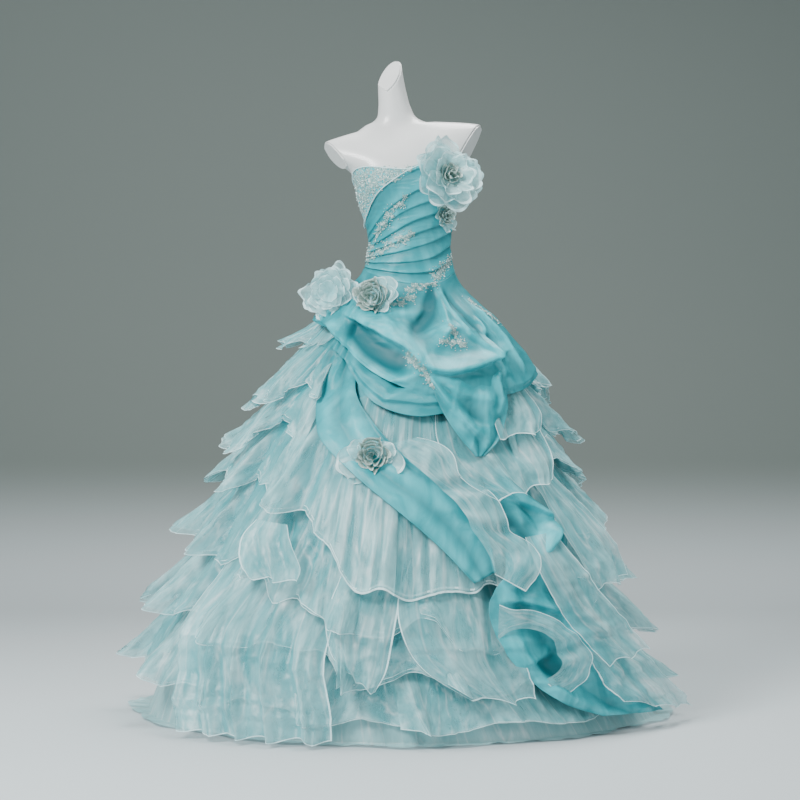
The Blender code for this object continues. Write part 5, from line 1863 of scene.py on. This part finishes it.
def add_backdrop():
    """A floor that curves up into a wall, pale below and greyer above, not seen from behind."""
    bm = bmesh.new()
    bmesh.ops.create_grid(bm, x_segments=8, y_segments=60, size=0.5)
    for vert in bm.verts:
        across, run = vert.co.x * 30, (vert.co.y + 0.5) * 16 - 7
        wall, bend = 2.6, 1.6
        turn = min(max((run - wall) / bend, 0.0), math.pi / 2)
        y = min(run, wall) + bend * math.sin(turn)
        z = bend * (1 - math.cos(turn)) + max(0.0, run - wall - bend * math.pi / 2)
        vert.co = (across, y, z - 0.0004)
    mesh = mesh_from("backdrop", bm)
    made = bpy.data.materials.new("backdrop_paper")
    made.use_nodes = True
    nodes, link = made.node_tree.nodes, made.node_tree.links.new
    shader = nodes["Principled BSDF"]
    shader.inputs["Roughness"].default_value = 0.75
    coords = nodes.new("ShaderNodeTexCoord")
    split = nodes.new("ShaderNodeSeparateXYZ")
    link(coords.outputs["Object"], split.inputs[0])
    rise = nodes.new("ShaderNodeMapRange")
    rise.inputs["From Min"].default_value = 0.0
    rise.inputs["From Max"].default_value = 0.55
    rise.interpolation_type = "SMOOTHSTEP"
    link(split.outputs["Z"], rise.inputs["Value"])
    tone = mix_colour(made, rise.outputs[0], (0.60, 0.67, 0.69), (0.18, 0.215, 0.20))
    link(tone, shader.inputs["Base Color"])
    behind, path = nodes.new("ShaderNodeNewGeometry"), nodes.new("ShaderNodeLightPath")
    hidden, seen = nodes.new("ShaderNodeMath"), nodes.new("ShaderNodeMath")
    hidden.operation, seen.operation = "MULTIPLY", "SUBTRACT"
    seen.inputs[0].default_value = 1
    link(behind.outputs["Backfacing"], hidden.inputs[0])
    link(path.outputs["Is Camera Ray"], hidden.inputs[1])
    link(hidden.outputs[0], seen.inputs[1])
    link(seen.outputs[0], shader.inputs["Alpha"])
    mesh.materials.append(made)
    backdrop = bpy.data.objects.new("backdrop", mesh)
    bpy.context.scene.collection.objects.link(backdrop)


class GOWN_PT_panel(bpy.types.Panel):
    """Lists the gown's pieces in the sidebar."""

    bl_idname = "GOWN_PT_panel"
    bl_label = "Evening gown"
    bl_space_type = "VIEW_3D"
    bl_region_type = "UI"
    bl_category = "Gown"

    def draw(self, context):
        scene = context.scene
        for group in (scene.gown_sizes, scene.gown_colours, scene.gown_stage):
            for name in group.bl_rna.properties.keys():
                if name not in ("name", "rna_type"):
                    self.layout.prop(group, name)
        for piece in PIECES:
            self.layout.operator(piece.bl_idname)


PIECES = (
    GOWN_OT_form, GOWN_OT_bodice, GOWN_OT_skirt, GOWN_OT_overskirt, GOWN_OT_flowers,
    GOWN_OT_trim, GOWN_OT_stage,
)
GROUPS = (GownSizes, GownColours, GownStage)
CREASE_SEED = 11


def register():
    """Adds the classes and seeds the creases' noise, which would else start from the clock."""
    noise.seed_set(CREASE_SEED)
    for made in (*GROUPS, *PIECES, GOWN_PT_panel):
        bpy.utils.register_class(made)
    bpy.types.Scene.gown_sizes = PointerProperty(type=GownSizes)
    bpy.types.Scene.gown_colours = PointerProperty(type=GownColours)
    bpy.types.Scene.gown_stage = PointerProperty(type=GownStage)


def unregister():
    del bpy.types.Scene.gown_sizes
    del bpy.types.Scene.gown_colours
    del bpy.types.Scene.gown_stage
    for made in reversed((*GROUPS, *PIECES, GOWN_PT_panel)):
        bpy.utils.unregister_class(made)


def main():
    register()
    bpy.ops.gown.form()
    bpy.ops.gown.bodice()
    bpy.ops.gown.skirt()
    bpy.ops.gown.overskirt()
    bpy.ops.gown.flowers()
    bpy.ops.gown.trim()
    bpy.ops.gown.stage()


if __name__ == "__main__":
    main()
